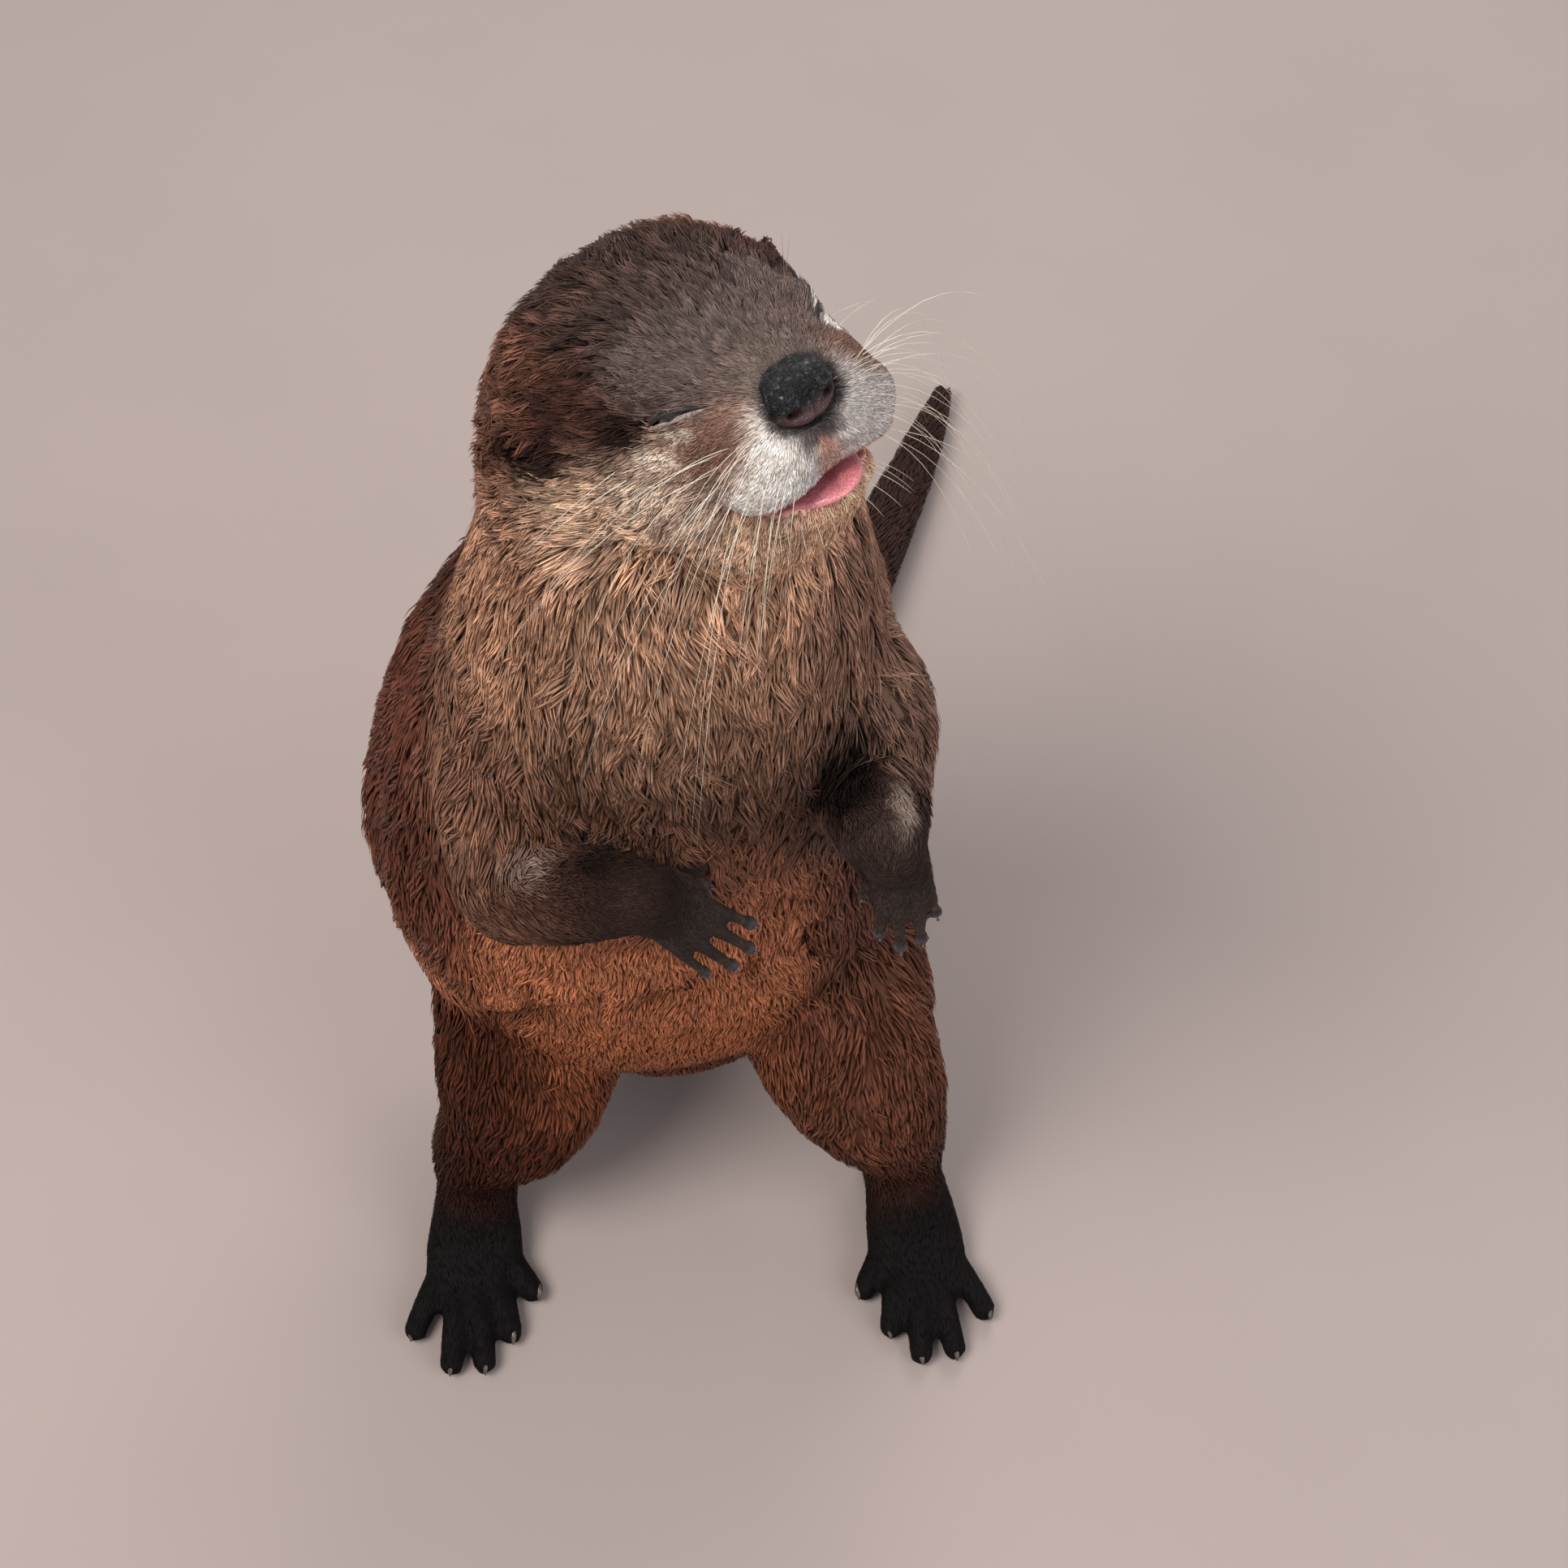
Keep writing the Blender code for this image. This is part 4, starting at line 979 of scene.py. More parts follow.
def locks_mesh(roots, rings, width, chosen, long):
    """One closed body for each lock, thin at both ends."""
    root = roots.place[chosen] - roots.normal[chosen] * 0.00015
    first, second, third = [(place[chosen], facing[chosen]) for place, facing in rings]
    wide, tip = width[chosen], third[0]
    rows = [(root, 0.0, 0.0)]
    rows += ring_rows(root, first, second[0], wide, RING_SIZE[0], RINGS_AT[0])
    if long:
        rows += ring_rows(first[0], second, tip, wide, RING_SIZE[1], RINGS_AT[1])
    rows.append((tip, 0.0, 1.0))
    shape = np.array(LONG_LOCK_FACES if long else SHORT_LOCK_FACES)
    count, size = len(chosen), len(rows)
    places = np.stack([row[0] for row in rows], 1).reshape(-1, 3)
    strand, patch = np.empty((count, size, 3)), np.empty((count, size, 2))
    colour = np.empty((count, size, 3))
    for k, (_, across, along) in enumerate(rows):
        strand[:, k, :2] = across, along
        strand[:, k, 2] = roots.random[chosen]
        patch[:, k] = roots.uv[chosen] + BAKE_PATCH * np.array((across * 0.5, along - 0.5))
        # Darker towards the root as painted shade in the coat, lighter towards the tip.
        colour[:, k] = roots.shade[chosen] * np.exp(roots.contrast[chosen] * (along - 0.55))[:, None]
    faces = (np.arange(count)[:, None, None] * size + shape[None]).reshape(-1, 3)
    return places, faces, strand.reshape(-1, 3), patch.reshape(-1, 2), colour.reshape(-1, 3)


def coat_piece(name, roots, rings, length, width, chosen):
    """A stretch of coat as one object."""
    parts, start = [], 0
    for long in (False, True):
        mine = chosen[(length[chosen] >= LONG_LOCK) == long]
        if len(mine):
            part = locks_mesh(roots, rings, width, mine, long)
            parts.append((part[0], part[1] + start, *part[2:]))
            start += len(part[0])
    places, faces, strand, patch, colour = [np.concatenate([part[k] for part in parts]) for k in range(5)]
    obj = mesh_of(name, places, faces)
    add_values(obj.data, "coat", np.column_stack([colour.clip(0, 1), np.ones(len(colour))]))
    add_values(obj.data, "strand", strand)
    layer = obj.data.uv_layers.new(name="OFBake")
    layer.data.foreach_set("uv", patch[faces.ravel()].astype(np.float32).ravel())
    return obj


def grow_coat(surface):
    """Every stretch of coat, split by side where it is large."""
    rng = np.random.default_rng(SEED)
    roots = Roots(surface, rng)
    roots.random = rng.random(roots.count)
    rings, length, width, leader = lock_shapes(surface, roots, rng)
    clump = roots.fields[:, CLUMP]
    on_head = ramp(0.075, 0.055, np.linalg.norm(to_head(roots.place), axis=1))
    tone = rng.normal(0.0, 1.0, roots.count)[leader].clip(-1.6, 1.6)
    of_tuft = (0.08 + (0.10 + 0.20 * on_head) * clump) * tone
    bright = 0.12 * rng.normal(0.0, 1.0, roots.count) + of_tuft
    roots.shade = np.clip(roots.colour * np.exp(bright)[:, None], 0.001, 1)
    # How much each lock darkens towards its root as painted shade, most in the head's tufts.
    roots.contrast = 0.25 + (0.50 + 1.00 * on_head) * clump * ramp(0.2, 1.0, clump)
    triangles = np.where(length >= LONG_LOCK, len(LONG_LOCK_FACES), len(SHORT_LOCK_FACES))
    piece_of = np.array([PIECES.index(zone.piece) for zone in ZONES])[roots.zone]
    made = []
    for k, piece in enumerate(PIECES):
        mine = np.nonzero(piece_of == k)[0]
        halves = {"": mine}
        if triangles[mine].sum() > PIECE_LIMIT:
            right = to_head(roots.place[mine])[:, 0] < 0
            halves = {"_right": mine[right], "_left": mine[~right]}
        for end, chosen in halves.items():
            obj = coat_piece(f"coat_{piece}{end}", roots, rings, length, width, chosen)
            made.append(obj)
    return made


# ---------------------------------------------------------------- round and drawn-out shapes
def grid_faces(rows, columns, closed):
    """Triangles over a grid of vertices, closed round its columns if asked."""
    faces = []
    for r in range(rows - 1):
        for c in range(columns if closed else columns - 1):
            a, b = r * columns + c, r * columns + (c + 1) % columns
            faces += [(a, b, b + columns), (a, b + columns, a + columns)]
    return faces


def strip(line, across, up, wide, tall, sides=8):
    """Places and triangles of a closed tube with an oval section along a line."""
    turn = np.arange(sides) * math.tau / sides
    rows = [line[:1]]
    faces = []
    for k in range(len(line)):
        rows.append(line[k] + across[k] * (np.cos(turn) * wide[k])[:, None]
                    + up[k] * (np.sin(turn) * tall[k])[:, None])
    rows.append(line[-1:])
    last = 1 + len(line) * sides
    for c in range(sides):
        d = (c + 1) % sides
        faces += [(0, 1 + d, 1 + c), (last, last - sides + c, last - sides + d)]
    faces += [tuple(v + 1 for v in face) for face in grid_faces(len(line), sides, True)]
    return np.concatenate(rows), np.array(faces)


def joined(name, shapes):
    """One object from several closed shapes, with its faces turned out."""
    obj = stacked(name, shapes)
    edited(obj.data, turned_out)
    return obj


# ---------------------------------------------------------------- eyes and lids
def make_eye(surface, side):
    """A ball with a low cornea, as deep behind the lids as a real one."""
    lids = LIDS[side]
    front, _ = surface.laid(lids.middle(0.56) + lids.out * 0.0030)
    middle = front[0] - lids.out * (EYE_RADIUS - 0.0004)
    bm = bmesh.new()
    bmesh.ops.create_icosphere(bm, subdivisions=5, radius=EYE_RADIUS)
    for v in bm.verts:
        ahead = v.co.normalized().dot(Vector(lids.out))
        swell = max(0.0, ahead - 0.80) / 0.20
        v.co *= 1 + 0.045 * swell * swell
        v.co += Vector(middle)
    return from_bmesh(f"eye_{SIDE_NAME[side]}_ball", bm)


def lid_line(surface, lids, along, above, out):
    """A line over the skin at a height above the parted lids."""
    points = lids.middle(along) + lids.lift * np.asarray(above)[:, None]
    found, _ = surface.laid(points + lids.out * 0.0012)
    # The sunk opening isn't followed: the line keeps the depth of the skin around it.
    depth = (found - points) @ lids.out
    smooth = np.convolve(np.pad(np.maximum(depth, -0.0006), 4, mode="edge"), np.ones(9) / 9, mode="valid")
    return points + lids.out * (smooth + out)[:, None]


# Half width, half thickness and height over the skin of each lid's rim.
UPPER_RIM = (0.00062, 0.00034, 0.00018)
LOWER_RIM = (0.00070, 0.00042, 0.00010)
RIM_LEAST = 0.00005


def make_lids(surface, side):
    """The rims of the lids: a dark upper one and a broad, pale lower one."""
    lids = LIDS[side]
    along = np.linspace(-0.06, 1.06, 57)
    taper = np.clip(1 - np.abs(2 * along - 1) ** 3.2, 0.02, 1)
    gap = lids.opening(along) * np.clip(taper * 2, 0, 1)
    lift = np.tile(lids.lift, (len(along), 1))
    out = np.tile(lids.out, (len(along), 1))
    upper_wide = UPPER_RIM[0] * taper + 0.00006
    upper = lid_line(surface, lids, along, gap + upper_wide * 0.7, UPPER_RIM[2])
    lower_wide = LOWER_RIM[0] * taper * (1.1 - 0.5 * along) + 0.00006
    lower = lid_line(surface, lids, along, -gap - lower_wide * 0.85, LOWER_RIM[2])
    top = strip(upper, lift, out, upper_wide, UPPER_RIM[1] * taper + RIM_LEAST, 12)
    low = strip(lower, lift, out, lower_wide, LOWER_RIM[1] * taper + RIM_LEAST, 14)
    name = SIDE_NAME[side]
    return joined(f"lid_upper_{name}", [top]), joined(f"lid_lower_{name}", [low])


# ---------------------------------------------------------------- nose and tongue
NOSE_WIDE = 0.0093
NOSE_UP = 0.0078
NOSE_DOWN = 0.0064
NOSE_BACK = -0.0420             # the rim lies under the fur here
NOSE_FRONT = -0.0521
NOSTRIL = (0.0047, -0.0016)


def nose_outline(angle):
    """The pad's half width and half height at an angle: broad above, narrow below."""
    c, s = math.cos(angle), math.sin(angle)
    power = 2 / 2.9
    wide = math.copysign(abs(c) ** power, c) * NOSE_WIDE * (1.0 if s > 0 else 1.0 - 0.34 * s * s)
    tall = math.copysign(abs(s) ** power, s) * (NOSE_UP if s > 0 else NOSE_DOWN)
    return wide, tall


def nose_relief(x, z, inner):
    """How far the pad stands back at a place: comma nostrils, a cleft and a pebbled skin."""
    u = abs(x)
    pit = math.exp(-(((u - NOSTRIL[0]) / .0015) ** 2 + ((z - NOSTRIL[1]) / .0011) ** 2))
    # The slit of each nostril curls out and up from its pit.
    run = min(max((u - NOSTRIL[0]) / 0.0036, 0.0), 1.0)
    slit = math.exp(-((z - NOSTRIL[1] - 0.0016 * run * run) / .00055) ** 2) * (0.0 < run < 1.0) * (1 - run)
    wing = math.exp(-(((u - .0052) / .0026) ** 2 + ((z - .0010) / .0016) ** 2))
    cleft = math.exp(-(x / .00055) ** 2) * (1 if z < 0 else max(0.0, 1 - z / .003))
    pebble = noise.voronoi(Vector((x, z, 0.0)) / .00085)[0][0]
    uneven = noise.noise(Vector((x, z, 0.4)) / .0021)
    brow = math.exp(-((z - .0030) / .0016) ** 2)
    relief = .0026 * pit + .0015 * slit - .0011 * wing + .00065 * cleft
    return inner * (relief + .00042 * pebble + .00035 * uneven - .00045 * brow)


def make_nose():
    """The bare nose pad as a rounded body with nostrils."""
    rings, around = ((58, 150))
    places, faces = [(0.0, NOSE_FRONT, 0.0)], []
    for r in range(1, rings + 1):
        t = r / rings
        for k in range(around):
            wide, tall = nose_outline(math.tau * k / around)
            size = math.sin(t * math.pi * 0.5) ** 0.85
            x, z = wide * size, tall * size
            bow = (1 - math.cos(t * math.pi * 0.5)) ** 2.0
            y = NOSE_FRONT + (NOSE_BACK - NOSE_FRONT) * bow + 10.0 * x * x * 1.2
            y += nose_relief(x, z, ramp(1.0, 0.80, t))
            places.append((x, y, z))
    places[0] = (0.0, NOSE_FRONT + nose_relief(0.0, 0.0, 1.0), 0.0)
    faces += [(0, 1 + k, 1 + (k + 1) % around) for k in range(around)]
    faces += [tuple(v + 1 for v in face) for face in grid_faces(rings, around, True)]
    centre = len(places)
    places.append((0.0, NOSE_BACK + 0.004, 0.0))
    start = 1 + (rings - 1) * around
    faces += [(start + k, centre, start + (k + 1) % around) for k in range(around)]
    turned = [head(x, y, z + NOSE_MIDDLE[2]) for x, y, z in places]
    obj = joined("nose_pad", [(np.array(turned), np.array(faces))])
    local = np.array(places)
    apart = (np.abs(local[:, 0]) - NOSTRIL[0], local[:, 2] - NOSTRIL[1])
    pit = np.exp(-((apart[0] / .0016) ** 2 + (apart[1] / .0011) ** 2))
    low = ramp(.001, -.0055, local[:, 2])
    add_values(obj.data, "shade", np.column_stack([pit, low, np.zeros(len(local))]))
    return obj


TONGUE = (0.0118, 0.0156, 0.0027)       # half its width, length and thickness
TONGUE_MIDDLE = (0.0, -0.0328, MOUTH_LEVEL - 0.0028)
TONGUE_TILT = math.radians(9)


def make_tongue():
    """The tongue between the lips: flat, grooved, with a rounded tip."""
    bm = bmesh.new()
    bmesh.ops.create_uvsphere(bm, u_segments=96, v_segments=48, radius=1.0)
    tilt = Matrix.Rotation(TONGUE_TILT, 3, "X")
    for v in bm.verts:
        x, y, z = v.co
        groove = 0.38 * math.exp(-(x / 0.16) ** 2) * max(0.0, z)
        bumps = 0.04 * noise.noise(Vector((x * 14, y * 22, z * 6)))
        z = math.copysign(abs(z) ** 0.85, z) * (1 + bumps) - groove
        v.co = head(*(tilt @ (Vector((x, y, z)) * Vector(TONGUE)) + Vector(TONGUE_MIDDLE)))
    return from_bmesh("tongue_in_mouth", bm)


# ---------------------------------------------------------------- whiskers and claws
def whisker(root, way, fall, length, radius):
    """A stiff hair that leaves the skin one way and bends as it falls."""
    steps = 10
    t = np.linspace(0, 1, steps)[:, None]
    line = root + (way * t + fall * t ** 2.2) * length
    ahead = unit(np.gradient(line, axis=0))
    across = unit(np.cross(ahead, np.array((0.31, 0.2, 0.93))))
    up = np.cross(ahead, across)
    size = radius * (1 - t[:, 0] ** 1.4 * 0.82)
    return strip(line, across, up, size, size, 5)


WHISKER_ROWS = 5
WHISKERS_IN_ROW = 6
WHISKER_FALL = np.array((0.0, 0.0, -0.34))
WHISKER_GROWTH = {-1: 1.0, 1: 1.25}     # the left fan is the longer


def make_whiskers(surface):
    """Pale whiskers in rows on the pads, with a few on the brow, the cheek and the chin."""
    rng = np.random.default_rng(SEED + 1)
    turn = np.array(HEAD)[:3, :3]
    shapes = {"pale": [], "dark": []}

    def add(kind, place, way, fall, length, radius):
        found, facing = surface.laid(np.array(head(*place))[None])
        way = unit((turn @ np.array(way, float))[None])[0]
        shapes[kind].append(whisker(found[0] - facing[0] * 0.0006, way, fall, length, radius))

    for side in SIDES:
        for row in range(WHISKER_ROWS):
            for k in range(WHISKERS_IN_ROW):
                back, down = k / (WHISKERS_IN_ROW - 1), row / (WHISKER_ROWS - 1)
                place = (side * (.0118 + .0085 * back), -.0478 + .0085 * back + .0015 * down,
                         .0000 - .0125 * down - .0018 * back)
                lean = rng.normal(0, 0.10, 3)
                way = (side * (.80 + lean[0]), -.35 + .60 * back + lean[1], .25 - 1.05 * down + lean[2])
                length = (.022 + .027 * back) * rng.uniform(.75, 1.20) * WHISKER_GROWTH[side]
                fall = WHISKER_FALL * rng.uniform(1.6, 4.6)
                add("pale", place, way, fall, length, .000062 + .00002 * back)
        for k in range(5):
            place = (side * (.004 + .003 * k), -.0420 + .0010 * k, -.0250)
            way = (side * (.25 + .12 * k), -.75, -.60 + rng.normal(0, .1))
            add("pale", place, way, WHISKER_FALL, rng.uniform(.007, .012), .00008)
        for k in range(2):
            place = (side * (.0335 - .0020 * k), -.0130 - .0040 * k, -.0010 - .0020 * k)
            way = (side * .85, .55, -.25 + .12 * k)
            add("pale", place, way, WHISKER_FALL * .5, .034 - .004 * k, .00011)
            place = (side * (.0175 + .0020 * k), -.0270 + .0030 * k, .0150)
            way = (side * (.30 + .2 * k), -.15, .90)
            add("dark", place, way, WHISKER_FALL * .4, .016 - .003 * k, .00008)
    return joined("whiskers_pale", shapes["pale"]), joined("whiskers_dark", shapes["dark"])


def claw(tip, ahead, up, size):
    """A small blunt claw that lies over a digit's tip."""
    t = np.linspace(0, 1, 9)[:, None]
    line = np.array(tip) + np.array(ahead) * (t - 0.45) * size * 2.2
    line = line + np.array(up) * size * (0.75 - 0.9 * t ** 2)
    across = unit(np.cross(ahead, up)[None])[0]
    size_along = size * np.clip(np.sin(math.pi * (0.12 + 0.80 * t[:, 0])), 0.1, 1)
    return strip(line, np.tile(across, (9, 1)), np.tile(np.array(up), (9, 1)), size_along * 0.42,
                 size_along * 0.34, 8)


def make_claws():
    shapes = []
    for side in SIDES:
        for _, tip, way, back in digits(side):
            shapes.append(claw(tip - way * .0010 + back * .0012, way, back, FINGER_CLAW))
        ball, ahead, inward, up = foot_axes(side)
        for _, _, across, along in TOES:
            tip = ball + up * .0048 + inward * across + ahead * (along - .0022)
            shapes.append(claw(tip, ahead, up, TOE_CLAW))
    return joined("claws", shapes)


# ---------------------------------------------------------------- finishes
class Value:
    """A shader socket that can be written in sums."""

    def __init__(self, finish, socket):
        self.finish, self.socket = finish, socket
        self.wide = socket.type in ("VECTOR", "RGBA")

    def _with(self, operation, first, second):
        wide = any(isinstance(v, tuple) or isinstance(v, Value) and v.wide for v in (first, second))
        kind = "ShaderNodeVectorMath" if wide else "ShaderNodeMath"
        return self.finish.node(kind, {"operation": operation}, {0: first, 1: second})

    def __add__(self, other):
        return self._with("ADD", self, other)

    def __mul__(self, other):
        return self._with("MULTIPLY", self, other)

    # A number may stand first in a sum or a product too.
    __radd__ = __add__
    __rmul__ = __mul__


class Finish:
    """A surface's material: fixed gloss, and nodes for what changes over the surface."""

    def __init__(self, name, **fixed):
        self.material = bpy.data.materials.new(name)
        self.material.use_nodes = True
        self.tree = self.material.node_tree
        self.shader = self.tree.nodes["Principled BSDF"]
        for word, value in fixed.items():
            self.shader.inputs[word.replace("_", " ")].default_value = value

    def set_input(self, socket, value):
        if isinstance(value, Value):
            self.tree.links.new(value.socket, socket)
        elif socket.type in ("VECTOR", "RGBA"):
            triple = value if isinstance(value, tuple) else (value,) * 3
            socket.default_value = triple + (1.0,) if socket.type == "RGBA" else triple
        else:
            socket.default_value = value

    def node(self, kind, settings=None, inputs=None, output=0):
        """Adds any node: its settings, then the values or links of its sockets."""
        made = self.tree.nodes.new(kind)
        for word, value in (settings or {}).items():
            setattr(made, word, value)
        for word, value in (inputs or {}).items():
            self.set_input(made.inputs[word], value)
        return Value(self, made.outputs[output])

    def stored(self, name, output="Color"):
        return self.node("ShaderNodeAttribute", {"attribute_name": name}, output=output)

    def parts(self, vector):
        """The three numbers of a vector."""
        made = self.node("ShaderNodeSeparateXYZ", None, {0: vector})
        return [Value(self, socket) for socket in made.socket.node.outputs]

    def noise(self, scale, detail=2.0, rough=0.5):
        place = self.node("ShaderNodeTexCoord", output="Object")
        return self.node("ShaderNodeTexNoise", None,
                         {"Vector": place, "Scale": scale, "Detail": detail, "Roughness": rough})

    def limits(self, value, low, high, to_low=0.0, to_high=1.0):
        """A value's way from low to high as another value."""
        return self.node("ShaderNodeMapRange", {"interpolation_type": "SMOOTHSTEP"},
                         {0: value, 1: low, 2: high, 3: to_low, 4: to_high})

    def mix(self, factor, first, second):
        """Between two colours."""
        return self.node("ShaderNodeMix", {"data_type": "RGBA"}, {0: factor, 6: first, 7: second}, 2)

    def feed(self, word, value):
        self.set_input(self.shader.inputs[word], value)
        return self

    def bumped(self, height, distance, strength=1.0):
        bump = self.node("ShaderNodeBump", None,
                         {"Height": height, "Distance": distance, "Strength": strength})
        return self.feed("Normal", bump)


def coat_finish():
    """Each lock is a bundle of hairs: darker at the root as painted shade deep in the coat, and lighter at
    the tip.
    """
    coat = Finish("otter coat", Roughness=0.52, Specular_IOR_Level=0.10)
    across, along, own = coat.parts(coat.stored("strand", "Vector"))
    hair = coat.node("ShaderNodeTexNoise", {"noise_dimensions": "2D"},
                     {"Vector": coat.node("ShaderNodeCombineXYZ", None,
                                          {0: across * 2.6 + own * 91.0, 1: along * 0.9 + own * 37.0}),
                      "Scale": 1.0, "Detail": 1.5})
    streak = coat.limits(hair, 0.30, 0.72, 0.74, 1.26)
    # Painted shade towards each lock's root, lighter towards its tip.
    length = coat.limits(along, 0.02, 0.95, 0.72, 1.18)
    coat.feed("Base Color", coat.stored("coat") * (streak * length))
    coat.feed("Roughness", coat.limits(hair, 0.3, 0.7, 0.60, 0.44))
    return coat.bumped(hair, 0.0002, 0.5).material


def skin_finish():
    """Skin under the coat: the coat's own colours, darker where covered as painted shade between the
    locks, with a fine nap.
    """
    skin = Finish("otter skin", Specular_IOR_Level=0.12)
    bare = skin.stored("bare", "Fac")
    fine, broad = skin.noise(2600.0, 3.0), skin.noise(420.0, 2.0)
    shade = skin.limits(fine + broad * 0.5, 0.45, 1.0, 0.70, 1.20)
    # Where the coat covers it, the skin is darkened as painted shade under the locks.
    cover = skin.limits(bare, 0.1, 0.9, 0.85, 1.0)
    skin.feed("Base Color", skin.stored("coat") * (shade * cover))
    skin.feed("Roughness", skin.limits(bare, 0.3, 1.0, 0.75, 0.36))
    return skin.bumped(fine * 0.6 + broad, 0.0004, 0.6).material


def nose_finish():
    nose = Finish("nose leather", Specular_IOR_Level=0.22, Coat_Roughness=0.20)
    pit, low, _ = nose.parts(nose.stored("shade", "Vector"))
    cells = nose.node("ShaderNodeTexVoronoi", {"feature": "DISTANCE_TO_EDGE"},
                      {"Vector": nose.node("ShaderNodeTexCoord", output="Object"), "Scale": 1500.0})
    dust = nose.noise(900.0, 4.0, 0.65)
    plain = nose.mix(low, (.0030, .0030, .0040), (.110, .054, .056))
    light = nose.mix(nose.limits(dust, 0.50, 0.74, 0.0, 0.8), plain, (.075, .072, .075))
    nose.feed("Base Color", nose.mix(pit, light, (.045, .012, .012)))
    nose.feed("Roughness", nose.limits(dust, 0.35, 0.65, 0.46, 0.66))
    nose.feed("Coat Weight", nose.limits(nose.noise(500.0), 0.50, 0.66, 0.0, 0.45))
    return nose.bumped(nose.limits(cells, 0.0, 0.30) + dust, 0.00018, 0.9).material


def eye_finish():
    eye = Finish("dark eye", Roughness=0.10, Coat_Weight=0.6, Coat_Roughness=0.06)
    eye.feed("Base Color", eye.mix(eye.noise(500.0), (.006, .004, .003), (.020, .011, .008)))
    return eye.material


def lid_finish(name, dark, light, rough):
    lid = Finish(name, Specular_IOR_Level=0.35)
    grain = lid.noise(1800.0, 3.0)
    lid.feed("Base Color", lid.mix(lid.limits(grain, 0.35, 0.65), dark, light))
    lid.feed("Roughness", lid.limits(grain, 0.35, 0.65, rough, rough + 0.2))
    return lid.bumped(grain, 0.0002, 0.5).material


def tongue_finish():
    tongue = Finish("tongue", Coat_Weight=0.5, Coat_Roughness=0.12, Subsurface_Weight=0.15)
    tongue.shader.inputs["Subsurface Radius"].default_value = (0.004, 0.0015, 0.001)
    tongue.shader.inputs["Subsurface Scale"].default_value = 0.3
    grain = tongue.noise(2200.0, 2.0)
    wet = tongue.limits(grain, 0.35, 0.65)
    tongue.feed("Base Color", tongue.mix(wet, (.560, .150, .180), (.760, .300, .320)))
    tongue.feed("Roughness", tongue.limits(grain, 0.3, 0.7, 0.25, 0.42))
    return tongue.bumped(grain, 0.0002, 0.6).material


def whisker_finish(name, root, tip):
    hair = Finish(name, Roughness=0.32, Specular_IOR_Level=0.6)
    hair.feed("Base Color", hair.mix(hair.limits(hair.noise(120.0), 0.35, 0.65), root, tip))
    return hair.material


def claw_finish():
    horn = Finish("claw horn", Roughness=0.28)
    horn.feed("Base Color", horn.mix(horn.noise(700.0), (.030, .020, .018), (.110, .080, .065)))
    return horn.material


def floor_finish():
    floor = Finish("pale studio floor", Roughness=0.85, Specular_IOR_Level=0.2)
    floor.feed("Base Color", floor.mix(floor.noise(9.0, 3.0), (.318, .262, .246), (.345, .286, .268)))
    return floor.material


def give(obj, material, replaced=()):
    """Finishes a piece and lets it ride on the model's one body."""
    obj.data.materials.clear()
    obj.data.materials.append(material)
    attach(obj, "root")
    if replaced:
        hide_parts(*replaced)


# ---------------------------------------------------------------- the studio
def area_light(name, place, aim, size, power, colour):
    data = bpy.data.lights.new(name, "AREA")
    data.shape = "DISK"
    data.size = size
    data.energy = power
    data.color = colour
    lamp = link(bpy.data.objects.new(name, data))
    lamp.location = place
    lamp.rotation_euler = (Vector(aim) - Vector(place)).to_track_quat("-Z", "Y").to_euler()
    return lamp


# Name, stance place, size, power and colour.
LIGHTS = (
    ("key", (-0.80, -0.60, 1.60), 1.0, 33.0, (1.0, 0.96, 0.91)),
    ("fill", (1.10, -0.80, 0.90), 1.2, 11.0, (0.97, 0.97, 1.0)),
    ("rim", (0.30, 1.20, 1.20), 0.9, 12.0, (1.0, 0.97, 0.93)),
)


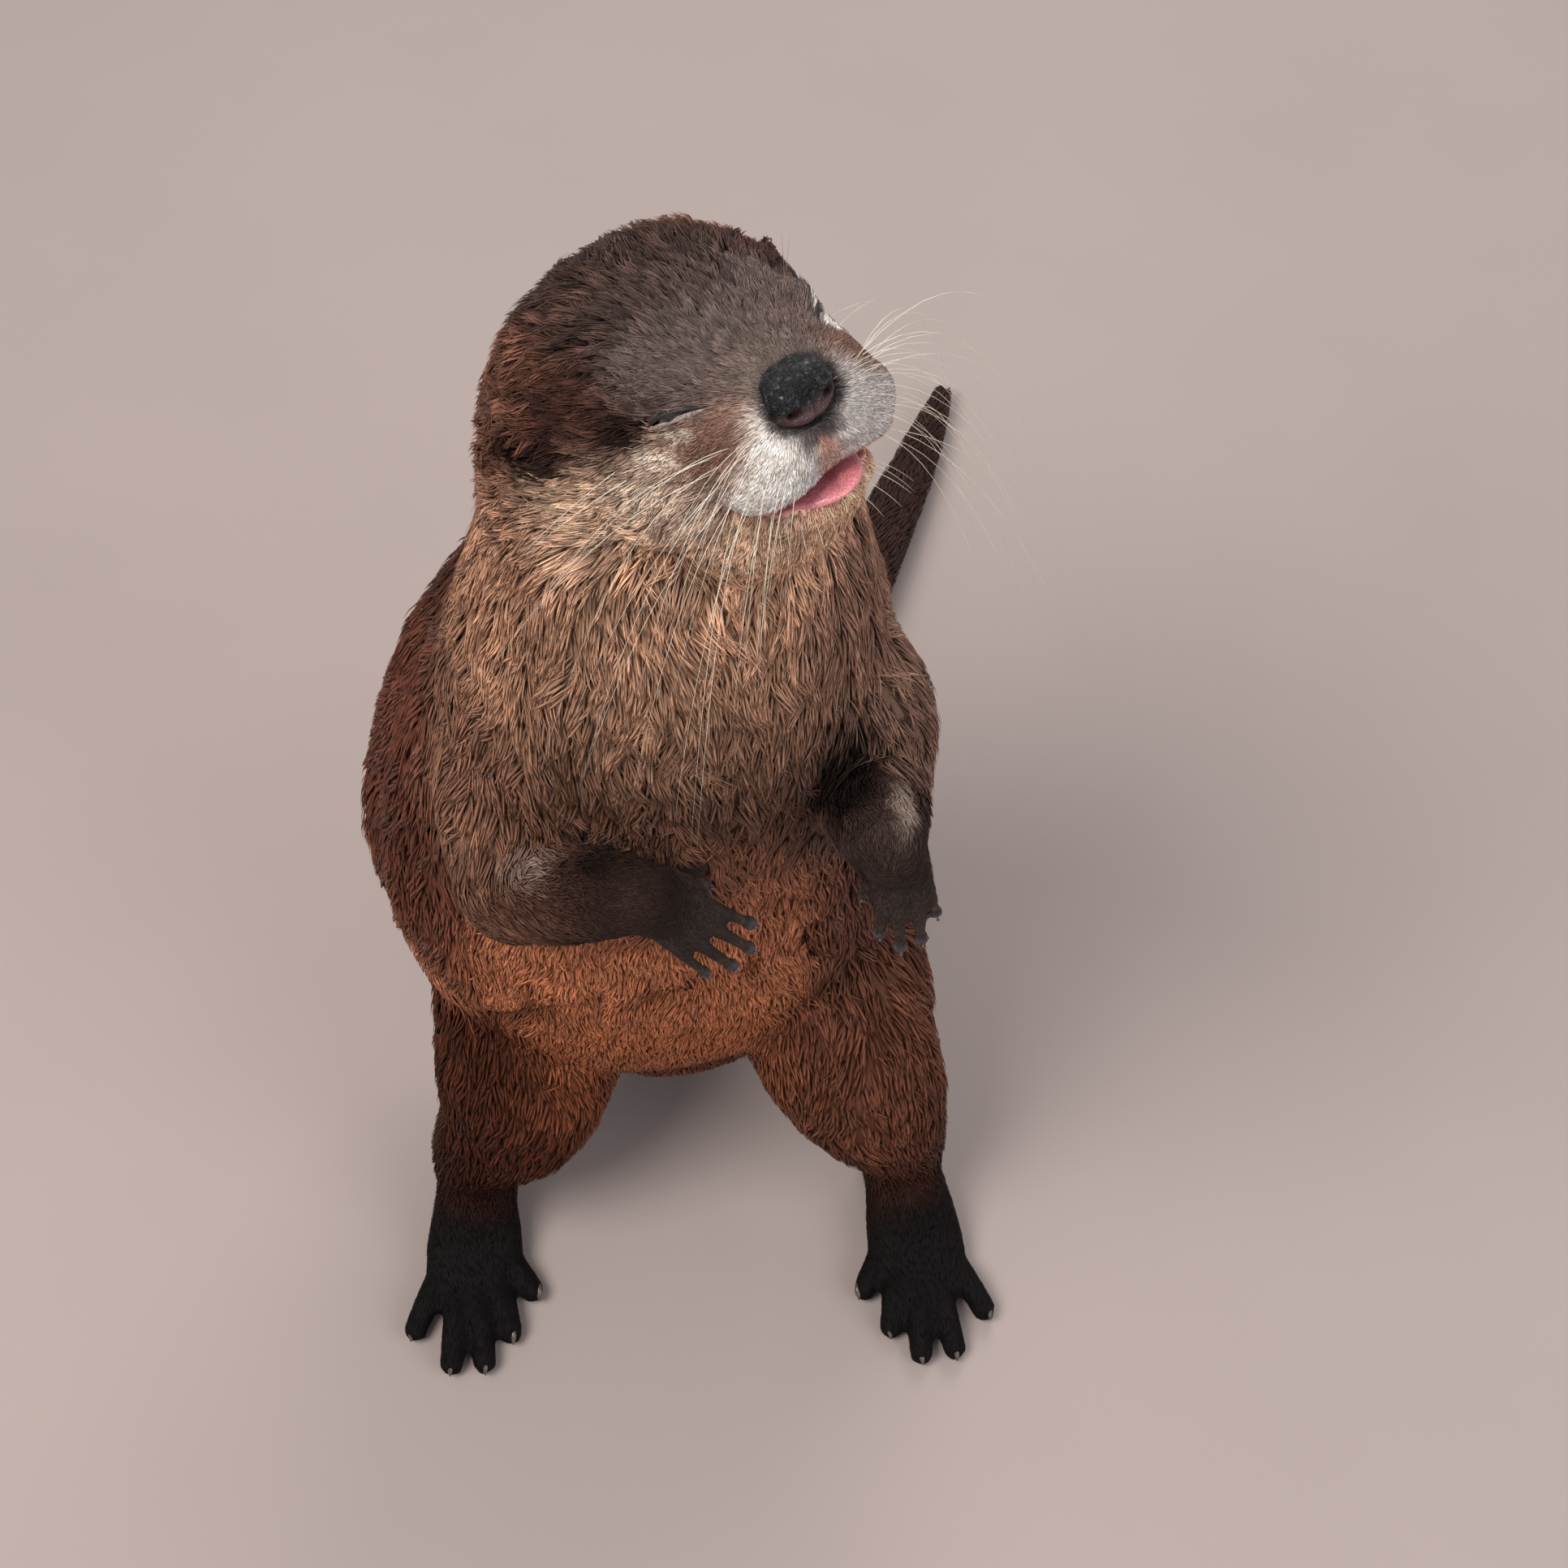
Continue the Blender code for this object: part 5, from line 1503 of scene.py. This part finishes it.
def studio():
    """A pale floor, soft lights and a pale world, shown with the plain view transform."""
    floor = bmesh.new()
    bmesh.ops.create_grid(floor, x_segments=8, y_segments=8, size=3.0)
    sheet = from_bmesh("studio_floor", floor)
    sheet.data.materials.append(floor_finish())
    middle = stance(0.0, 0.0, 0.30)
    for name, place, size, power, colour in LIGHTS:
        area_light(name, stance(*place), middle, size, power, colour)
    world = bpy.data.worlds.new("studio")
    world.use_nodes = True
    world.node_tree.nodes["Background"].inputs[0].default_value = (0.95, 0.96, 1.0, 1.0)
    world.node_tree.nodes["Background"].inputs[1].default_value = 0.46
    bpy.context.scene.world = world
    bpy.context.scene.view_settings.view_transform = "Standard"


CAMERA = (0.0276, -0.4649, 0.8660)       # in stance places
LOOKING_DOWN = math.radians(54.0)
LENS = 63.27                             # in mm, on a square 36 mm sensor


def make_camera():
    data = bpy.data.cameras.new("camera")
    data.lens = LENS
    data.sensor_width = 36.0
    data.clip_start = 0.01
    camera = link(bpy.data.objects.new("camera", data))
    camera.location = stance(*CAMERA)
    camera.rotation_euler = (math.pi / 2 - LOOKING_DOWN, 0.0, 0.0)
    bpy.context.scene.camera = camera


# ---------------------------------------------------------------- the whole animal
def build():
    surface = Surface(remeshed(joined_flesh()))
    give(surface.obj, skin_finish(), FLESH)
    coat = coat_finish()
    for piece in grow_coat(surface):
        give(piece, coat)
    eye, upper = eye_finish(), lid_finish("upper lid", (.006, .004, .004), (.020, .013, .011), 0.45)
    lower = lid_finish("lower lid", (.130, .100, .092), (.270, .220, .200), 0.25)
    for side in SIDES:
        give(make_eye(surface, side), eye, (f"eye_{SIDE_NAME[side]}",))
        top, low = make_lids(surface, side)
        give(top, upper)
        give(low, lower)
    give(make_nose(), nose_finish(), ("nose",))
    give(make_tongue(), tongue_finish(), ("tongue",))
    pale, dark = make_whiskers(surface)
    give(pale, whisker_finish("pale whiskers", (.600, .520, .410), (.800, .730, .610)))
    give(dark, whisker_finish("dark whiskers", (.120, .070, .050), (.220, .140, .100)))
    give(make_claws(), claw_finish())


build()
studio()
make_camera()
